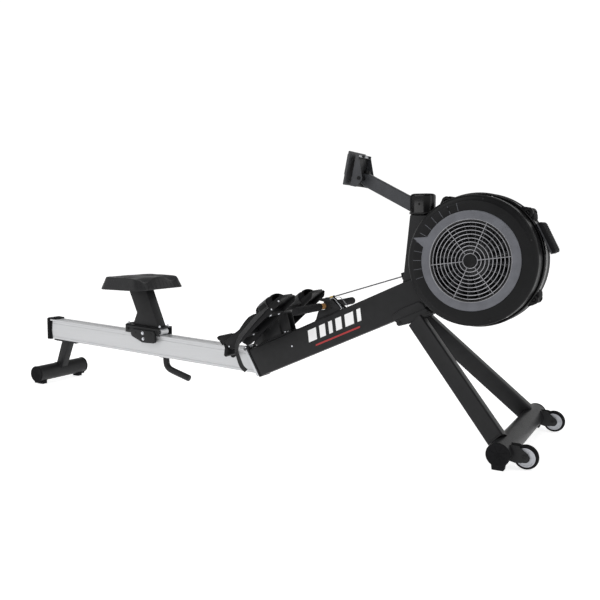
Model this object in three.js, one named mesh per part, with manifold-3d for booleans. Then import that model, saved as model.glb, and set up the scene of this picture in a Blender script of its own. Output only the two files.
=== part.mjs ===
// An air-resistance rowing machine: fan drum on a sloping beam, hinged seat rail, sliding seat.
// Millimetres. +X points forward to the fan, +Y to the rower's left, +Z up, floor at Z = 0.
// Lengths below are drawn from the axis of the front crossbar; the last lines move the origin to
// the middle of the footprint.
import * as THREE from "three";
import { mergeVertices } from "three/addons/utils/BufferGeometryUtils.js";
import Module from "manifold-3d";

const wasm = await Module();
wasm.setup();

// ---- driving dimensions -------------------------------------------------------------------
const GAP = 0.3; // between pieces that touch
const WALL = 2.4; // tube wall
const SIDES = { right: -1, left: 1 }; // the rower's right is -Y

const TUBE_RADIUS = 38.1; // floor crossbars, 3 inch tube
const TUBE_Z = 51.6;
const FRONT_HALF_WIDTH = 305;
const REAR_HALF_WIDTH = 146;
const CAP_THICKNESS = 6;
const REAR_FOOT_X = -2283;

const BEAM = { slope: 0.459, top: 476.9, at: -636, depth: 133.2, half: 38, front: -325 };
const MITRE_TOP = new THREE.Vector2(-1127.7, 251.2);
const MITRE_ANGLE = THREE.MathUtils.degToRad(-59.8);
const HINGE_ABOVE = 16; // hinge pin, up the mitre line from the beam's top corner
const KNUCKLE_RADIUS = 7;
const PLATE = 8; // end plate of the beam
const RAIL_PLATE = 16; // cast end plate of the rail

const RAIL = { slope: -0.0447, top: 248.1, at: -1100, depth: 91.5, half: 29, rear: -2308 };
const TRACK = { half: 33, rise: 8, groove: 7, grooveDepth: 2 };
const LOCK = { x: -1188, z: 232, radius: 5, travel: 10 };

const FAN = { x: -160, z: 660, radius: 228, half: 120, seam: 40.5 };
const GRILLE = { radius: 149, rings: 5, spokes: 6, wire: 3.2, hub: 29 };
const DAMPER = { inner: 142, outer: 174.2, thickness: 5, pointer: 159.5, reach: 221 };
const AXLE_RADIUS = 6;
const SPROCKET = { radius: 20.3, teeth: 20, width: 4 };
const CHAIN = { height: 6, width: 7.6, from: [-736.6, 498.9], angle: 17.55 };

const REAR_PAD_INSET = 18; // the rear bar's pads stand this far in from its caps
const PAD = { half: 22, height: 24, length: 26, into: 2 }; // into: a front pad's reach into its cap
const LEG = { wide: 64, narrow: 42, top: [-379, 36, 432], foot: 230 };
const HEEL = { rear: 8, sole: 20, front: 168, cheek: 78 };
const TOE_STRAP = { from: 252, width: 44, rise: 54, thick: 4 };

const POST = { half: 30, top: 822.7 };
const POST_CAP = { x: -375.75, z: 823, halfX: 49.6, halfY: 38, corner: 32, height: 76 };
const CONSOLE = { tilt: 10.8, height: 131, depth: 27, half: 75, low: [-672.5, 934.4] };
const CONSOLE_PIVOT = [-609.4, 958.7];
const ARM = { half: 15, height: 50 };
const BUTTON = { radius: 7, up: 17, spacing: 34, length: 8, proud: 2 };

const HANDLE = { x: -774, z: 460, bar: 12.5, grip: 15.5, inner: 58, outer: 255 };
const FOOT = { x: -1165, z: 285, angle: 37.6, length: 357, inner: 70, outer: 190, thick: 5 };
const SEAT = { rear: -1852, front: -1609, half: 171, low: 490, high: 546, inset: 21, corner: 45 };
const CARRIAGE = { rear: -1800, front: -1597, half: 47, plate: 6, top: 36 };
const ROLLER = { radius: 14, half: 25, places: { rear: -1784, front: -1613 } };
const GUIDE = { radius: 9, x: -1684, inner: 30, outer: 38 };
const WHEEL = { x: 78, y: 251.9, z: 42.2, radius: 40, half: 12, axle: 5 };
const CENTRE_X = -1104.5; // middle of the footprint, from the front crossbar

// ---- solids -------------------------------------------------------------------------------
function solid(geometry) {
  const plain = geometry.clone();
  plain.deleteAttribute("normal");
  plain.deleteAttribute("uv");
  const merged = mergeVertices(plain, 1e-4);
  const mesh = new wasm.Mesh({
    numProp: 3,
    vertProperties: merged.attributes.position.array,
    triVerts: new Uint32Array(merged.index.array),
  });
  return new wasm.Manifold(mesh);
}

function geometryOf(manifold) {
  const mesh = manifold.getMesh();
  const geometry = new THREE.BufferGeometry();
  geometry.setAttribute("position", new THREE.BufferAttribute(mesh.vertProperties, 3));
  geometry.setIndex(new THREE.BufferAttribute(mesh.triVerts, 1));
  geometry.computeVertexNormals();
  return geometry;
}

function join(first, ...others) {
  return geometryOf(others.reduce((sum, other) => sum.add(solid(other)), solid(first)));
}

function cut(base, ...tools) {
  return geometryOf(tools.reduce((rest, tool) => rest.subtract(solid(tool)), solid(base)));
}

// An outline drawn in X and Z, solid from yLow to yHigh.
function slab(outline, yLow, yHigh) {
  const shape = new THREE.Shape(outline.map(([x, z]) => new THREE.Vector2(x, z)));
  const options = { depth: yHigh - yLow, bevelEnabled: false };
  const geometry = new THREE.ExtrudeGeometry(shape, options);
  geometry.rotateX(Math.PI / 2);
  geometry.translate(0, yHigh, 0);
  return geometry;
}

// A box from its lowest to its highest corner.
function block(low, high) {
  const size = high.map((v, i) => v - low[i]);
  const geometry = new THREE.BoxGeometry(...size);
  geometry.translate(...high.map((v, i) => (v + low[i]) / 2));
  return geometry;
}

// A round bar between two points.
function rod(from, to, radius, sides = 16) {
  const start = new THREE.Vector3(...from);
  const line = new THREE.Vector3(...to).sub(start);
  const geometry = new THREE.CylinderGeometry(radius, radius, line.length(), sides);
  const up = new THREE.Vector3(0, 1, 0);
  const turn = new THREE.Quaternion().setFromUnitVectors(up, line.clone().normalize());
  geometry.applyQuaternion(turn);
  geometry.translate(...start.addScaledVector(line, 0.5).toArray());
  return geometry;
}

// A round bar across the machine, between two Y values.
function crossRod(x, z, yLow, yHigh, radius, sides = 16) {
  return rod([x, yLow, z], [x, yHigh, z], radius, sides);
}

// A solid of revolution about an axis across the machine; the profile is [radius, y] pairs.
function turned(profile, x, z, sides = 48) {
  const points = profile.map(([radius, y]) => new THREE.Vector2(radius, y));
  const geometry = new THREE.LatheGeometry(points, sides);
  geometry.translate(x, 0, z);
  return geometry;
}

// A ring about an axis across the machine.
function ring(inner, outer, yLow, yHigh, x, z, sides = 48) {
  const profile = [[inner, yLow], [outer, yLow], [outer, yHigh], [inner, yHigh], [inner, yLow]];
  return turned(profile, x, z, sides);
}

// A rectangular bar between two points; its wide side stays in the vertical plane of the bar.
function bar(from, to, wide, narrow) {
  const start = new THREE.Vector3(...from);
  const line = new THREE.Vector3(...to).sub(start);
  const geometry = new THREE.BoxGeometry(wide, narrow, line.length());
  const along = line.clone().normalize();
  const side = new THREE.Vector3(0, 0, 1).cross(along).normalize();
  const high = side.clone().cross(along);
  geometry.applyMatrix4(new THREE.Matrix4().makeBasis(high, side, along));
  geometry.translate(...start.addScaledVector(line, 0.5).toArray());
  return geometry;
}

// A closed skin over rings of points, each ring convex and with the same count.
function loft(rings) {
  const count = rings[0].length;
  const positions = rings.flat(2);
  const index = [];
  for (let layer = 0; layer + 1 < rings.length; layer++) {
    for (let i = 0; i < count; i++) {
      const a = layer * count + i;
      const b = layer * count + ((i + 1) % count);
      index.push(a, b, b + count, a, b + count, a + count);
    }
  }
  const last = (rings.length - 1) * count;
  for (let i = 1; i + 1 < count; i++) {
    index.push(0, i + 1, i);
    index.push(last, last + i, last + i + 1);
  }
  const geometry = new THREE.BufferGeometry();
  geometry.setAttribute("position", new THREE.Float32BufferAttribute(positions, 3));
  geometry.setIndex(index);
  return geometry;
}

// A tube along smooth points.
function pipe(points, radius, steps, sides = 12) {
  const path = new THREE.CatmullRomCurve3(points.map((p) => new THREE.Vector3(...p)));
  const circle = new THREE.Shape();
  for (let i = 0; i < sides; i++) {
    const angle = (2 * Math.PI * i) / sides;
    const spot = [radius * Math.cos(angle), radius * Math.sin(angle)];
    if (i) circle.lineTo(...spot);
    else circle.moveTo(...spot);
  }
  return new THREE.ExtrudeGeometry(circle, { steps, extrudePath: path, bevelEnabled: false });
}

function arc(x, z, radius, from, to, count) {
  return Array.from({ length: count + 1 }, (_, i) => {
    const angle = THREE.MathUtils.degToRad(from + ((to - from) * i) / count);
    return [x + radius * Math.cos(angle), z + radius * Math.sin(angle)];
  });
}

// ---- lines that parts share ---------------------------------------------------------------
const beamTop = (x) => BEAM.top + BEAM.slope * (x - BEAM.at);
const railTop = (x) => RAIL.top + RAIL.slope * (x - RAIL.at);
const trackTop = (x) => railTop(x) + TRACK.rise;
const railBottom = (x) => railTop(x) - RAIL.depth;

// The mitre where beam and rail meet: a point so far down the line and so far forward of it.
function mitre(down, forward) {
  const x = Math.cos(MITRE_ANGLE);
  const z = Math.sin(MITRE_ANGLE);
  return [MITRE_TOP.x + x * down - z * forward, MITRE_TOP.y + z * down + x * forward];
}

// Where the mitre, moved forward by an offset, meets the line that a height function draws.
function mitreMeets(height, offset) {
  const [x0, z0] = mitre(0, offset);
  const [x1, z1] = mitre(1, offset);
  const slope = height(1) - height(0);
  const down = (height(x0) - z0) / (z1 - z0 - slope * (x1 - x0));
  return mitre(down, offset);
}

const HINGE = mitre(-HINGE_ABOVE, 0);

// A strip along a sloping line, from the mitre or from a given X.
function strip(height, low, high, rear, front) {
  const lowLine = (x) => height(x) + low;
  const highLine = (x) => height(x) + high;
  const end = (line, limit) =>
    limit.offset === undefined ? [limit.x, line(limit.x)] : mitreMeets(line, limit.offset);
  return [end(lowLine, rear), end(lowLine, front), end(highLine, front), end(highLine, rear)];
}

const BEAM_REAR = { offset: PLATE + GAP };
const beamOutline = (grow) =>
  strip(beamTop, -BEAM.depth - grow, grow, BEAM_REAR, { x: BEAM.front + grow });

// ---- materials and the group --------------------------------------------------------------
const finish = (color, roughness, metalness) => ({ color, roughness, metalness });
const FINISHES = {
  paint: finish(0x1b1c1e, 0.55, 0.3),
  plastic: finish(0x17181a, 0.6, 0),
  gloss: finish(0x101113, 0.25, 0),
  grey: finish(0x54565c, 0.45, 0.4),
  aluminium: finish(0xc9cbcd, 0.35, 0.85),
  steel: finish(0xa6a8ab, 0.3, 0.95),
  rubber: finish(0x151516, 0.85, 0),
  foam: finish(0x1e1f20, 0.95, 0),
  wood: finish(0xb98a52, 0.6, 0),
  brass: finish(0xb79447, 0.35, 0.9),
  webbing: finish(0x161617, 0.9, 0),
  screen: finish(0x5f6d62, 0.2, 0),
  nylon: finish(0xe4e5e6, 0.5, 0),
};

const machine = new THREE.Group();

function add(name, kind, geometry) {
  const mesh = new THREE.Mesh(geometry, new THREE.MeshStandardMaterial(FINISHES[kind]));
  mesh.name = name;
  machine.add(mesh);
}

// ---- beam, legs and floor bars ------------------------------------------------------------
function addBeam() {
  const wall = WALL / Math.cos(Math.atan(BEAM.slope));
  const reach = 60;
  const hollow = strip(
    beamTop, wall - BEAM.depth, -wall,
    { offset: -reach }, { x: BEAM.front + reach },
  );
  const inside = slab(hollow, WALL - BEAM.half, BEAM.half - WALL);
  add("main_beam", "paint", cut(slab(beamOutline(0), -BEAM.half, BEAM.half), inside));
}

function addBeamEndPlate() {
  const [hx, hz] = HINGE;
  const outline = [mitre(-7, 0.15), mitre(124, 0.15), mitre(124, PLATE), mitre(-7, PLATE)];
  const plate = slab(outline, -BEAM.half, BEAM.half);
  const ear = [mitre(-HINGE_ABOVE, 0.15), mitre(-2, 0.15), mitre(-2, PLATE), mitre(-12, PLATE)];
  const pieces = [];
  for (const side of Object.values(SIDES)) {
    const [low, high] = [14.3 * side, 34 * side].sort((a, b) => a - b);
    pieces.push(slab(ear, low, high), crossRod(hx, hz, low, high, KNUCKLE_RADIUS));
  }
  const tongue = [...arc(hx, hz, 74, 202, 304, 10), ...arc(hx, hz, 50, 202, 304, 8).reverse()];
  pieces.push(slab(tongue, -12, 12));
  const pinHole = crossRod(LOCK.x, LOCK.z, -20, 20, LOCK.radius + 0.7);
  const bore = crossRod(hx, hz, -50, 50, 3.6);
  add("beam_end_plate", "paint", cut(join(plate, ...pieces), pinHole, bore));
  add("hinge_pin", "steel", crossRod(hx, hz, -37, 37, 3.2));
}

const SADDLE = [
  [-469, 431], [-437, 469], [-367, 501], [-338, 485], [-312, 462], [-325, 451], [-404, 414], [-448, 404],
];

function addSaddle() {
  const notch = slab(beamOutline(GAP), -BEAM.half - GAP, BEAM.half + GAP);
  add("leg_saddle", "paint", cut(slab(SADDLE, -50, 50), notch));
}

function addLegs() {
  const [midX, midZ] = [-387, 453];
  const scale = 1.02; // leaves a fine gap around the saddle
  const clear = SADDLE.map(([x, z]) => [midX + (x - midX) * scale, midZ + (z - midZ) * scale]);
  for (const [name, side] of Object.entries(SIDES)) {
    const [x, y, z] = LEG.top;
    const line = [[x, y * side, z], [0, LEG.foot * side, TUBE_Z]];
    const leg = bar(...line, LEG.wide, LEG.narrow);
    const inner = bar(...line, LEG.wide - 2 * WALL, LEG.narrow - 2 * WALL);
    const inSaddle = slab(clear, -90, 90);
    const inTube = crossRod(0, TUBE_Z, -400, 400, TUBE_RADIUS + GAP + 0.4, 32);
    add(`leg_${name}`, "paint", cut(leg, inner, inSaddle, inTube));
  }
}

function addFrontCrossbar() {
  const pieces = [];
  for (const side of Object.values(SIDES)) {
    for (const offset of [-17.5, 14]) {
      const y = side * WHEEL.y + offset;
      const nose = arc(WHEEL.x, WHEEL.z, 16, -90, 90, 8);
      pieces.push(slab([[32, 36], ...nose, [32, 70]], y, y + 3.5));
    }
    const y = side * WHEEL.y;
    pieces.push(crossRod(WHEEL.x, WHEEL.z, y - 19, y + 19, WHEEL.axle, 12));
  }
  const radius = TUBE_RADIUS;
  const tube = ring(radius - WALL, radius, -FRONT_HALF_WIDTH, FRONT_HALF_WIDTH, 0, TUBE_Z, 32);
  add("front_crossbar", "paint", join(tube, ...pieces));
}

// The moulded cap on the end of a floor bar, with the pad that stands on the floor.
function endCap(x, side, halfWidth, inset = 0) {
  const between = (a, b) => [a * side, b * side].sort((m, n) => m - n);
  const [capLow, capHigh] = between(halfWidth + GAP, halfWidth + CAP_THICKNESS);
  const padEnd = inset ? halfWidth - inset : halfWidth + PAD.into;
  const [padLow, padHigh] = between(halfWidth - PAD.length - inset, padEnd);
  const [tongueLow, tongueHigh] = between(halfWidth - inset - 2, halfWidth + CAP_THICKNESS);
  const [holeLow, holeHigh] = between(halfWidth - 60, halfWidth + GAP);
  const disc = crossRod(x, TUBE_Z, capLow, capHigh, TUBE_RADIUS + 1.2, 32);
  const pad = block([x - PAD.half, padLow, 0], [x + PAD.half, padHigh, PAD.height]);
  const tongue = block([x - 14, tongueLow, 8], [x + 14, tongueHigh, PAD.height]);
  const tube = crossRod(x, TUBE_Z, holeLow, holeHigh, TUBE_RADIUS + GAP, 32);
  return cut(join(disc, pad, tongue), tube);
}

function addFrontCaps() {
  for (const [name, side] of Object.entries(SIDES)) {
    add(`front_cap_${name}`, "rubber", endCap(0, side, FRONT_HALF_WIDTH));
  }
}

function addWheels() {
  for (const [name, side] of Object.entries(SIDES)) {
    const y = side * WHEEL.y;
    const [outer, half] = [WHEEL.radius, WHEEL.half];
    const bore = WHEEL.axle + 0.6;
    const profile = [
      [bore, y - 10], [27, y - 10], [29, y - half], [outer - 4, y - half], [outer, y - half + 4],
      [outer, y + half - 4], [outer - 4, y + half], [29, y + half], [27, y + 10], [bore, y + 10],
      [bore, y - 10],
    ];
    add(`transport_wheel_${name}`, "rubber", turned(profile, WHEEL.x, WHEEL.z, 32));
  }
}

// ---- upright post, console arm and console --------------------------------------------------
const postOutline = (inset) => [
  [-440 + inset, beamTop(-440 + inset) + GAP],
  [-352.3 - inset, beamTop(-352.3 - inset) + GAP],
  [-331.7 - inset, POST.top],
  [-415.7 + inset, POST.top],
];

// A box along the chain's line, between two distances from the handle end.
function chainBox(from, to, height, width) {
  const [x0, z0] = CHAIN.from;
  const angle = THREE.MathUtils.degToRad(CHAIN.angle);
  const [c, s] = [Math.cos(angle), Math.sin(angle)];
  const at = (along, up) => [x0 + c * along - s * up, z0 + s * along + c * up];
  const h = height / 2;
  return slab([at(from, -h), at(to, -h), at(to, h), at(from, h)], -width / 2, width / 2);
}

const CHAIN_AT_POST = 313; // from the handle end to the post's rear wall

function addPost() {
  const solidPost = slab(postOutline(0), -POST.half, POST.half);
  const inner = postOutline(WALL).map(([x, z], i) => [x, z + (i < 2 ? -20 : 20)]);
  const hollow = slab(inner, WALL - POST.half, POST.half - WALL);
  const slot = chainBox(CHAIN_AT_POST - 40, CHAIN_AT_POST + 140, 16, 14);
  add("fan_post", "paint", cut(solidPost, hollow, slot));
  const guide = chainBox(CHAIN_AT_POST - 12, CHAIN_AT_POST - 0.6, 26, 26);
  const throat = chainBox(CHAIN_AT_POST - 30, CHAIN_AT_POST + 10, 10, 11);
  const wall = slab(postOutline(-GAP), -POST.half, POST.half);
  add("chain_guide", "plastic", cut(guide, throat, wall));
}

// The post cap's plan outline as a prism.
function capPrism(grow, low, high) {
  const [a, b, r] = [POST_CAP.halfX + grow, POST_CAP.halfY + grow, POST_CAP.corner];
  const corners = [[a - r, b - r, 0], [r - a, b - r, 90], [r - a, r - b, 180], [a - r, r - b, 270]];
  const outline = corners.flatMap(([x, y, start]) => arc(x, y, r, start, start + 90, 5));
  const shape = new THREE.Shape(outline.map(([x, y]) => new THREE.Vector2(x, y)));
  const options = { depth: high - low, bevelEnabled: false };
  const geometry = new THREE.ExtrudeGeometry(shape, options);
  geometry.translate(POST_CAP.x, 0, low);
  return geometry;
}

function addPostCapAndArm() {
  const { z, height } = POST_CAP;
  add("post_cap", "gloss", capPrism(0, z, z + height));
  const [px, pz] = CONSOLE_PIVOT;
  const root = [-380, 840.5];
  const line = new THREE.Vector2(root[0] - px, root[1] - pz);
  const along = line.clone().normalize();
  const at = (d, up) => [px + along.x * d - along.y * up, pz + along.y * d + along.x * up];
  const h = ARM.height / 2;
  const start = 14;
  const body = slab([at(start, -h), at(line.length(), -h), at(line.length(), h), at(start, h)],
    -ARM.half, ARM.half);
  const eye = crossRod(px, pz, -ARM.half, ARM.half, 22, 20);
  const hole = crossRod(px, pz, -40, 40, 4.6);
  const cap = capPrism(GAP, z - 80, z + height + 80);
  add("monitor_arm", "paint", cut(join(body, eye), hole, cap));
}

const TILT = THREE.MathUtils.degToRad(CONSOLE.tilt);

// A point on the console: up its face, and forward from its screen side.
function consoleAt(up, forward) {
  const [x, z] = CONSOLE.low;
  const [c, s] = [Math.cos(TILT), Math.sin(TILT)];
  return [x + s * up + c * forward, z + c * up - s * forward];
}

function consoleBlock(up, forward, yLow, yHigh) {
  const corners = [[0, 0], [0, 1], [1, 1], [1, 0]];
  return slab(corners.map(([a, b]) => consoleAt(up[a], forward[b])), yLow, yHigh);
}

function consolePeg(up, y, forward, radius, sides = 16) {
  const [x0, z0] = consoleAt(up, forward[0]);
  const [x1, z1] = consoleAt(up, forward[1]);
  return rod([x0, y, z0], [x1, y, z1], radius, sides);
}

function addConsole() {
  const { height, depth, half } = CONSOLE;
  const box = consoleBlock([0, height], [0, depth], -half, half);
  const window = consoleBlock([40, 118], [-5, 3], -54, 54);
  const holes = [-1, 0, 1].map((i) =>
    consolePeg(BUTTON.up, i * BUTTON.spacing, [-5, BUTTON.length + 3], BUTTON.radius + 0.4, 20));
  add("console_housing", "plastic", cut(box, window, ...holes));
  add("console_screen", "screen", consoleBlock([40.3, 117.7], [0.5, 2.7], -53.7, 53.7));
  for (const [i, name] of ["menu", "select", "power"].entries()) {
    const y = (i - 1) * BUTTON.spacing;
    const peg = consolePeg(BUTTON.up, y, [-BUTTON.proud, BUTTON.length], BUTTON.radius, 20);
    add(`button_${name}`, "rubber", peg);
  }

  const [px, pz] = CONSOLE_PIVOT;
  const front = depth + GAP;
  const cheek = [consoleAt(2, front), [-621, 926], [-598, 957], consoleAt(118, front)];
  const web = consoleBlock([2, 118], [front, front + 2.5], -60, 60);
  const rim = consoleBlock([112, 124], [front, front + 12], -60, 60);
  const slots = [-29, 29].map((y) =>
    consoleBlock([114.5, 121.5], [front - 5, front + 20], y - 22, y + 22));
  const cheeks = [-60, 57].map((y) => slab(cheek, y, y + 3));
  const bolt = crossRod(px, pz, -63, 63, 4);
  const bracket = cut(join(web, rim, ...cheeks, bolt), ...slots);
  add("console_bracket", "grey", bracket);
  add("tilt_knob", "plastic", crossRod(px, pz, 63.3, 82, 13, 20));
}

// ---- fan drum -----------------------------------------------------------------------------
function addDrum() {
  const { x, z, radius: r, half, seam } = FAN;
  const face = [
    [GRILLE.radius + GAP, -half], [r - 18, -half], [r - 5, -half + 5], [r, -half + 16],
    [r, -seam], [r - 4, -seam], [r - 4, -half + 17], [r - 9, -half + 8],
    [r - 19, -half + 4], [GRILLE.radius + GAP, -half + 4], [GRILLE.radius + GAP, -half],
  ];
  add("fan_shell_right", "plastic", turned(face, x, z));
  const back = [
    [0, half - 4], [171, half - 4], [199, 102], [220, 69], [r - 4, seam], [r, seam],
    [r - 4, 70], [203, 105], [174, half], [0, half],
  ];
  add("fan_shell_left", "plastic", turned(back, x, z));
}

function addBand() {
  const { x, z, radius: r, seam } = FAN;
  const hoop = [
    [r + 0.5, -seam - 3], [r + 6, -seam - 3], [r + 10, -seam + 8], [r + 10, seam - 8],
    [r + 6, seam + 3], [r + 0.5, seam + 3], [r + 0.5, -seam - 3],
  ];
  const lugs = [119, 44, -33].map((degrees) => {
    const [lx, lz] = arc(x, z, r + 8, degrees, degrees, 1)[0];
    return crossRod(lx, lz, -34, 34, 15, 12);
  });
  const inside = turned([[0, -90], [r + 0.5, -90], [r + 0.5, 90], [0, 90]], x, z);
  const room = BEAM.half + 1;
  const grown = postOutline(-1).map(([px, pz], i) => [px, pz + (i < 2 ? -9 : 9)]);
  const band = cut(
    join(turned(hoop, x, z), ...lugs.map((lug) => cut(lug, inside))),
    slab(grown, -room, room), slab(beamOutline(1), -room, room),
    capPrism(1, POST_CAP.z - 4, POST_CAP.z + 120),
    slab([[-470, 404], [-340, 484], [-340, 520], [-470, 470]], -51, 51),
  );
  add("fan_band", "gloss", band);
}

function addGrille() {
  const { x, z, half } = FAN;
  const wire = GRILLE.wire;
  const low = -half;
  const rim = ring(DAMPER.inner - 5, GRILLE.radius, low, low + 4, x, z, 48);
  const hub = turned([[0, low - 1], [GRILLE.hub, low - 1], [GRILLE.hub, low + 6], [0, low + 6]],
    x, z, 24);
  const rings = Array.from({ length: GRILLE.rings }, (_, i) => {
    const r = GRILLE.hub + ((i + 1) * (DAMPER.inner - GRILLE.hub)) / (GRILLE.rings + 1);
    return ring(r - wire / 2, r + wire / 2, low, low + wire, x, z, 32);
  });
  const spokes = Array.from({ length: GRILLE.spokes / 2 }, (_, i) => {
    const angle = 4 + (i * 360) / GRILLE.spokes;
    const reach = DAMPER.inner + 2;
    const [[ax, az], [bx, bz]] = [arc(x, z, reach, angle, angle, 1)[0],
      arc(x, z, -reach, angle, angle, 1)[0]];
    return bar([ax, low + 2, az], [bx, low + 2, bz], wire, 2.4);
  });
  add("fan_grille", "grey", join(rim, hub, ...rings, ...spokes));
}

function addDamper() {
  const { x, z, half } = FAN;
  const [low, high] = [-half - DAMPER.thickness, -half - GAP];
  const at = (radius, degrees) => arc(x, z, radius, degrees, degrees, 1)[0];
  const tip = DAMPER.pointer;
  const pointer = slab(
    [at(DAMPER.outer - 6, tip - 9), at(DAMPER.reach, tip - 1.5), at(DAMPER.reach, tip + 1.5),
      at(DAMPER.outer - 6, tip + 9)], low, high);
  const body = ring(DAMPER.inner, DAMPER.outer, low, high, x, z, 48);
  add("damper_ring", "grey", join(body, pointer));
}

function addFanInside() {
  const { x, z, half } = FAN;
  add("fan_axle", "steel", crossRod(x, z, -half + 6.3, half - 4.3, AXLE_RADIUS));
  const disc = turned([[0, -42], [200, -42], [200, -39], [0, -39]], x, z, 40);
  const hub = crossRod(x, z, -92, -14, 26, 24);
  const vanes = Array.from({ length: 20 }, (_, i) => {
    const vane = block([60, -98, -1.5], [198, -41, 1.5]);
    vane.rotateY((2 * Math.PI * i) / 20);
    vane.translate(x, 0, z);
    return vane;
  });
  const bore = crossRod(x, z, -120, 120, AXLE_RADIUS + 0.5);
  add("fan_wheel", "plastic", cut(join(disc, hub, ...vanes), bore));

  const teeth = Array.from({ length: SPROCKET.teeth * 2 }, (_, i) => {
    const angle = (180 * i) / SPROCKET.teeth;
    return arc(x, z, SPROCKET.radius + (i % 2 ? -3.6 : 1.2), angle, angle, 1)[0];
  });
  const rimY = SPROCKET.width / 2;
  const gear = join(slab(teeth, -rimY, rimY), crossRod(x, z, -8, 12, 12, 20));
  add("drive_sprocket", "steel", cut(gear, bore));
}

function addCarrySlab() {
  const { x, z } = FAN;
  const [from, to] = [5, 33];
  const curve = (radius) => arc(x, z, radius, from, to, 3);
  add("front_bumper", "plastic", slab([...curve(239), ...curve(266).reverse()], -42, 42));
}

// ---- handle, chain and return cord ----------------------------------------------------------
function addHandle() {
  const { x, z, bar: radius, outer } = HANDLE;
  add("handle_bar", "wood", crossRod(x, z, -outer + 8, outer - 8, radius, 20));
  for (const [name, side] of Object.entries(SIDES)) {
    add(`grip_${name}`, "foam", gripSleeve(side));
  }
  const eye = chainBox(-30, -1, 11, 10);
  const clamp = slab([[x - 8, z + 8], [x + 9, z + 8], [x + 17, z + 34], [x + 2, z + 33]], -6, 6);
  const seat = crossRod(x, z, -20, 20, radius + GAP, 20);
  add("chain_swivel", "brass", cut(join(eye, clamp), seat));
  add("pull_chain", "steel", chainBox(0, 584, CHAIN.height, CHAIN.width));
}

function gripSleeve(side) {
  const { x, z, bar: radius, grip, inner, outer } = HANDLE;
  const span = (a, b) => [a * side, b * side].sort((m, n) => m - n);
  const [low, high] = span(inner, outer);
  const [boreLow, boreHigh] = span(inner - 10, outer - 7);
  const body = crossRod(x, z, low, high, grip, 20);
  return cut(body, crossRod(x, z, boreLow, boreHigh, radius + GAP, 20));
}

function addHolder() {
  const { x, z } = HANDLE;
  const plate = [
    [-808, beamTop(-808) + GAP], [-690, beamTop(-690) + GAP], [-722, 494], [-787, 490],
    [-787, 481], [-768, 478.5],
    ...arc(x, z, 15.5, 60, -50, 6),
    [-790, 445.5], [-798, 434],
  ];
  const web = [
    [-750, beamTop(-750) + GAP], [-690, beamTop(-690) + GAP], [-698, 460], [-744, 440],
  ];
  const pieces = [slab(plate, -27, -23), slab(plate, 23, 27), slab(web, -25, 25)];
  add("handle_holder", "paint", join(...pieces));
}

function addReturnCord() {
  const middle = (x) => beamTop(x) - BEAM.depth / 2;
  const [x, z] = mitreMeets(middle, PLATE + 0.9);
  const end = BEAM.front - 30;
  add("return_bungee", "webbing", rod([x, 0, z], [end, 0, middle(end)], 5, 10));
}

// ---- foot stretchers ------------------------------------------------------------------------
const FOOT_TURN = THREE.MathUtils.degToRad(FOOT.angle);

// A point on the stretcher plane: up the slope, and out from its upper face.
function footAt(along, out) {
  const [c, s] = [Math.cos(FOOT_TURN), Math.sin(FOOT_TURN)];
  return [FOOT.x + c * along - s * out, FOOT.z + s * along + c * out];
}

function footBlock(along, out, yLow, yHigh) {
  const corners = [[0, 0], [1, 0], [1, 1], [0, 1]];
  return slab(corners.map(([a, b]) => footAt(along[a], out[b])), yLow, yHigh);
}

function addFootBracket() {
  const under = -FOOT.thick - GAP;
  const pieces = [];
  for (const along of [118, 268]) {
    pieces.push(footBlock([along - 14, along + 14], [under - 22, under], -184.7, 184.7));
    const [x, z] = footAt(along, under - 12);
    const foot = [
      [x - 20, beamTop(x - 20) + GAP], [x + 20, beamTop(x + 20) + GAP], [x + 12, z], [x - 12, z],
    ];
    pieces.push(slab(foot, -24, 24));
  }
  const base = strip(beamTop, GAP, 6, { x: -1085 }, { x: -915 });
  const gusset = [[-1058, beamTop(-1058) + 4], [-962, beamTop(-962) + 4], [-984, 390], [-1003, 396],
    [-1050, 342]];
  pieces.push(slab(gusset, -30, -26), slab(gusset, 26, 30));
  add("foot_bracket", "paint", join(slab(base, -36, 36), ...pieces));
}

function addFootboards() {
  const { inner, outer, length, thick } = FOOT;
  for (const [name, side] of Object.entries(SIDES)) {
    const [low, high] = [inner * side, outer * side].sort((a, b) => a - b);
    const board = footBlock([84, length], [-thick, 0], low, high);
    const slot = footBlock([100, 190], [-20, 20], (low + high) / 2 - 6, (low + high) / 2 + 6);
    const lip = footBlock([length - 6, length], [-thick, 9], low + 10, high - 10);
    const edge = [(outer - 5) * side, outer * side].sort((a, b) => a - b);
    const flange = footBlock([84, length - 12], [-30, 0], ...edge);
    add(`footboard_${name}`, "plastic", cut(join(board, lip, flange), slot));

    const cupLow = low + 14;
    const cupHigh = high - 14;
    const sole = footBlock([HEEL.sole, HEEL.front], [GAP, 6], cupLow, cupHigh);
    const wall = footBlock([HEEL.rear, HEEL.sole], [-18, 46], cupLow + 6, cupHigh - 6);
    const root = footBlock([HEEL.rear, HEEL.sole + 6], [GAP, 6], cupLow + 6, cupHigh - 6);
    const cheeks = [cupLow, cupHigh - 4].map((y) =>
      footBlock([HEEL.sole, HEEL.cheek], [GAP, 26], y, y + 4));
    add(`heel_cup_${name}`, "plastic", join(sole, root, wall, ...cheeks));
    addToeStrap(name, low, high);
  }
}

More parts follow.
